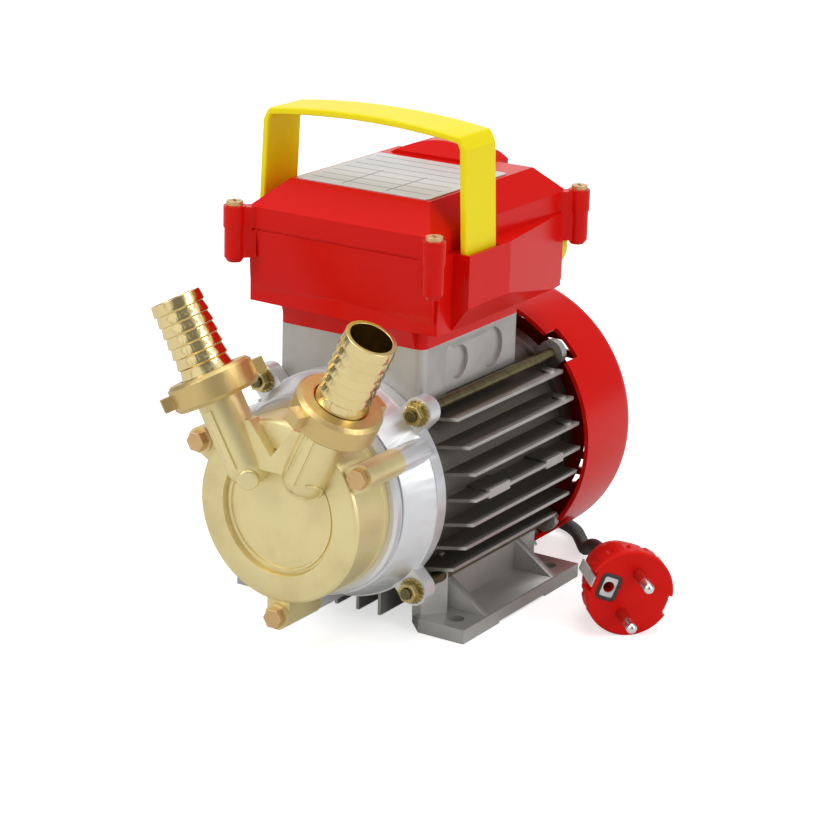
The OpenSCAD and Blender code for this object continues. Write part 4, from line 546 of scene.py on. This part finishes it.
def ridgePath(side, points, look):
    across, front, up = (v * 0.001 for v in look["foot"])
    place = Matrix.Translation((side * across, front, up))
    turn = Matrix.Rotation(side * look["tilt"], 4, "Y") @ Matrix.Rotation(look["lean"], 4, "X")
    r = look["radius"] * 0.001
    spots = []
    for i in range(len(points) - 1):
        for k in range(look["steps"]):
            spots.append([a + (b - a) * k / look["steps"] for a, b in zip(points[i], points[i + 1])])
    spots.append(points[-1])
    path = []
    for around, height in spots:
        angle = around * 0.001 / r
        down = max(0.0, -height * 0.001)  # below the pipe the foot is a ball
        reach = math.sqrt(max(0.0, r * r - down * down))
        spot = Vector((reach * math.sin(angle), -reach * math.cos(angle), height * 0.001))
        path.append(place @ turn @ spot)
    return path


def makeRidges(look):
    corners, edges = [], []
    for side, key in ((1, "rightLoop"), (1, "rightHook"), (1, "rightArc"), (-1, "leftLoop")):
        path = ridgePath(side, look[key], look)
        edges += [(len(corners) + i, len(corners) + i + 1) for i in range(len(path) - 1)]
        corners += path
    start = bpy.data.meshes.new("ridgeStart")
    start.from_pydata(corners, edges, [])
    g = Growth("port_ridges", look["sizes"])
    line = g.node("GeometryNodeMeshToCurve", {}, {"Mesh": g.given["Geometry"]})
    rib = g.node("GeometryNodeSetShadeSmooth", {}, {"Geometry": g.sweep(line)})
    piece = g.bake(rib, "castBrass", start)
    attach(piece, bodyOf["pump_cover"])
    return piece


makeRidges(portRidge)
print("port ridges grown")


# rounded boss at the foot of the left port, its ends in millimetres
portToe = {
    "from": (-14.0, -105.0, 78.6), "to": (-8.2, -113.8, 77.8),
    "sizes": {"thick": 0.0045, "sides": 40}, "edge": 0.0009, "rounds": 4, "corner": math.radians(50),
}


def makeToe(look):
    start = bpy.data.meshes.new("toeStart")
    ends = [Vector(look[key]) * 0.001 for key in ("from", "to")]
    start.from_pydata(ends, [(0, 1)], [])
    g = Growth("port_toe", look["sizes"])
    line = g.node("GeometryNodeMeshToCurve", {}, {"Mesh": g.given["Geometry"]})
    piece = g.bake(g.sweep(line), "castBrass", start)
    shadeRound(piece.data)
    bevelEdges(piece, look["edge"], look["rounds"], look["corner"])
    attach(piece, bodyOf["pump_cover"])
    return piece


makeToe(portToe)
print("port toe made")


# black collar round the plug's earth plate
plateCollar = {
    "plug": (0.1125, 0.001, 0.0195), "swing": math.radians(42.8), "roll": math.radians(20.2),
    "centre": (-0.0103, 0.0, 0.0),
    "sizes": {"width": 0.0078, "height": 0.0106, "thick": 0.00085, "round": 0.0018, "sides": 10, "cornerSteps": 6},
}


def makeCollar(look):
    g = Growth("plate_collar", look["sizes"])
    rim = g.node("GeometryNodeCurvePrimitiveQuadrilateral", {},
                 {"Width": g.given["width"], "Height": g.given["height"]})
    rim = g.node("GeometryNodeFilletCurve", {"mode": "POLY"},
                 {"Curve": rim, "Count": g.given["cornerSteps"], "Radius": g.given["round"]})
    bead = g.node("GeometryNodeSetShadeSmooth", {}, {"Geometry": g.sweep(rim, False)})
    turn = Matrix.Translation(look["plug"]) @ Matrix.Rotation(look["swing"], 4, "Z")
    turn = turn @ Matrix.Rotation(look["roll"], 4, "Y") @ Matrix.Translation(look["centre"]) @ upToFront
    piece = g.bake(bead, "blackPlastic", None, turn)
    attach(piece, bodyOf["plug_body"])
    return piece


collar = makeCollar(plateCollar)
print("plate collar grown")


# floor, backdrop and light
studio = {
    "floorHalf": 6.0,
    "floorColour": (0.82, 0.82, 0.82),
    "floorLift": 0.62,
    "skyForLight": 0.42,
    "glossDark": 0.22,
    "glossBright": 1.0,
    "glossBands": 3.0,
    "glossTurn": 0.9,
    "bandEdge": (-0.55, 0.75),
    "overhead": (0.55, 0.9),
}
white = (1.0, 1.0, 1.0, 1.0)
lamps = {
    "keyLight": {"place": (-0.9, -1.5, 1.5), "target": (0, -0.03, 0.1), "size": (1.0, 0.9), "watts": 18.0},
    "sideLight": {"place": (1.7, 0.1, 0.9), "target": (0, 0, 0.1), "size": (0.8, 1.1), "watts": 9.0},
    "topLight": {"place": (0.1, 0.3, 1.9), "target": (0, 0, 0.1), "size": (1.2, 1.2), "watts": 12.0},
}


def makeFloor(look):
    h = look["floorHalf"]
    mesh = bpy.data.meshes.new("floor")
    mesh.from_pydata([(-h, -h, 0), (h, -h, 0), (h, h, 0), (-h, h, 0)], [], [(0, 1, 2, 3)])
    floor = bpy.data.objects.new("floor", mesh)
    bpy.context.scene.collection.objects.link(floor)
    f = Finish("paleFloor")
    seen = f.node("ShaderNodeLightPath", out="Is Camera Ray")
    diffuse = f.node("ShaderNodeBsdfDiffuse", {}, {0: (*look["floorColour"], 1.0)})
    lift = f.node("ShaderNodeEmission", {}, {0: white, 1: seen * look["floorLift"]})
    both = f.node("ShaderNodeAddShader", {}, {0: diffuse, 1: lift})
    f.node("ShaderNodeOutputMaterial", {}, {0: both})
    mesh.materials.append(f.material)


def makeWorld(look):
    # white to the camera, even light, and soft upright bands for metal to show
    world = bpy.data.worlds.new("studio")
    bpy.context.scene.world = world
    w = Finish("studio", world)
    x, y, z = w.axes()
    angle = w.node("ShaderNodeMath", {"operation": "ARCTAN2"}, {0: y, 1: x})
    wave = w.node("ShaderNodeMath", {"operation": "SINE"}, {0: angle * look["glossBands"] + look["glossTurn"]})
    band = w.largest(w.smooth(wave, *look["bandEdge"]), w.smooth(z, *look["overhead"]))
    gloss = band * (look["glossBright"] - look["glossDark"]) + look["glossDark"]
    isGloss = w.node("ShaderNodeLightPath", out="Is Glossy Ray")
    isSeen = w.node("ShaderNodeLightPath", out="Is Camera Ray")
    level = w.largest(isSeen, isGloss * gloss + (1.0 - isGloss) * look["skyForLight"])
    back = w.node("ShaderNodeBackground", {}, {"Color": white, "Strength": level})
    w.node("ShaderNodeOutputWorld", {}, {0: back})


def makeLamp(name, place, target, size, watts):
    data = bpy.data.lights.new(name, "AREA")
    data.shape = "RECTANGLE"
    data.size, data.size_y = size
    data.energy = watts
    lamp = bpy.data.objects.new(name, data)
    bpy.context.scene.collection.objects.link(lamp)
    lamp.location = place
    aim = Vector(target) - Vector(place)
    lamp.rotation_euler = aim.to_track_quat("-Z", "Y").to_euler()


makeFloor(studio)
makeWorld(studio)
for name, lamp in lamps.items():
    makeLamp(name, **lamp)
bpy.context.scene.view_settings.view_transform = "Standard"
print("studio lit")
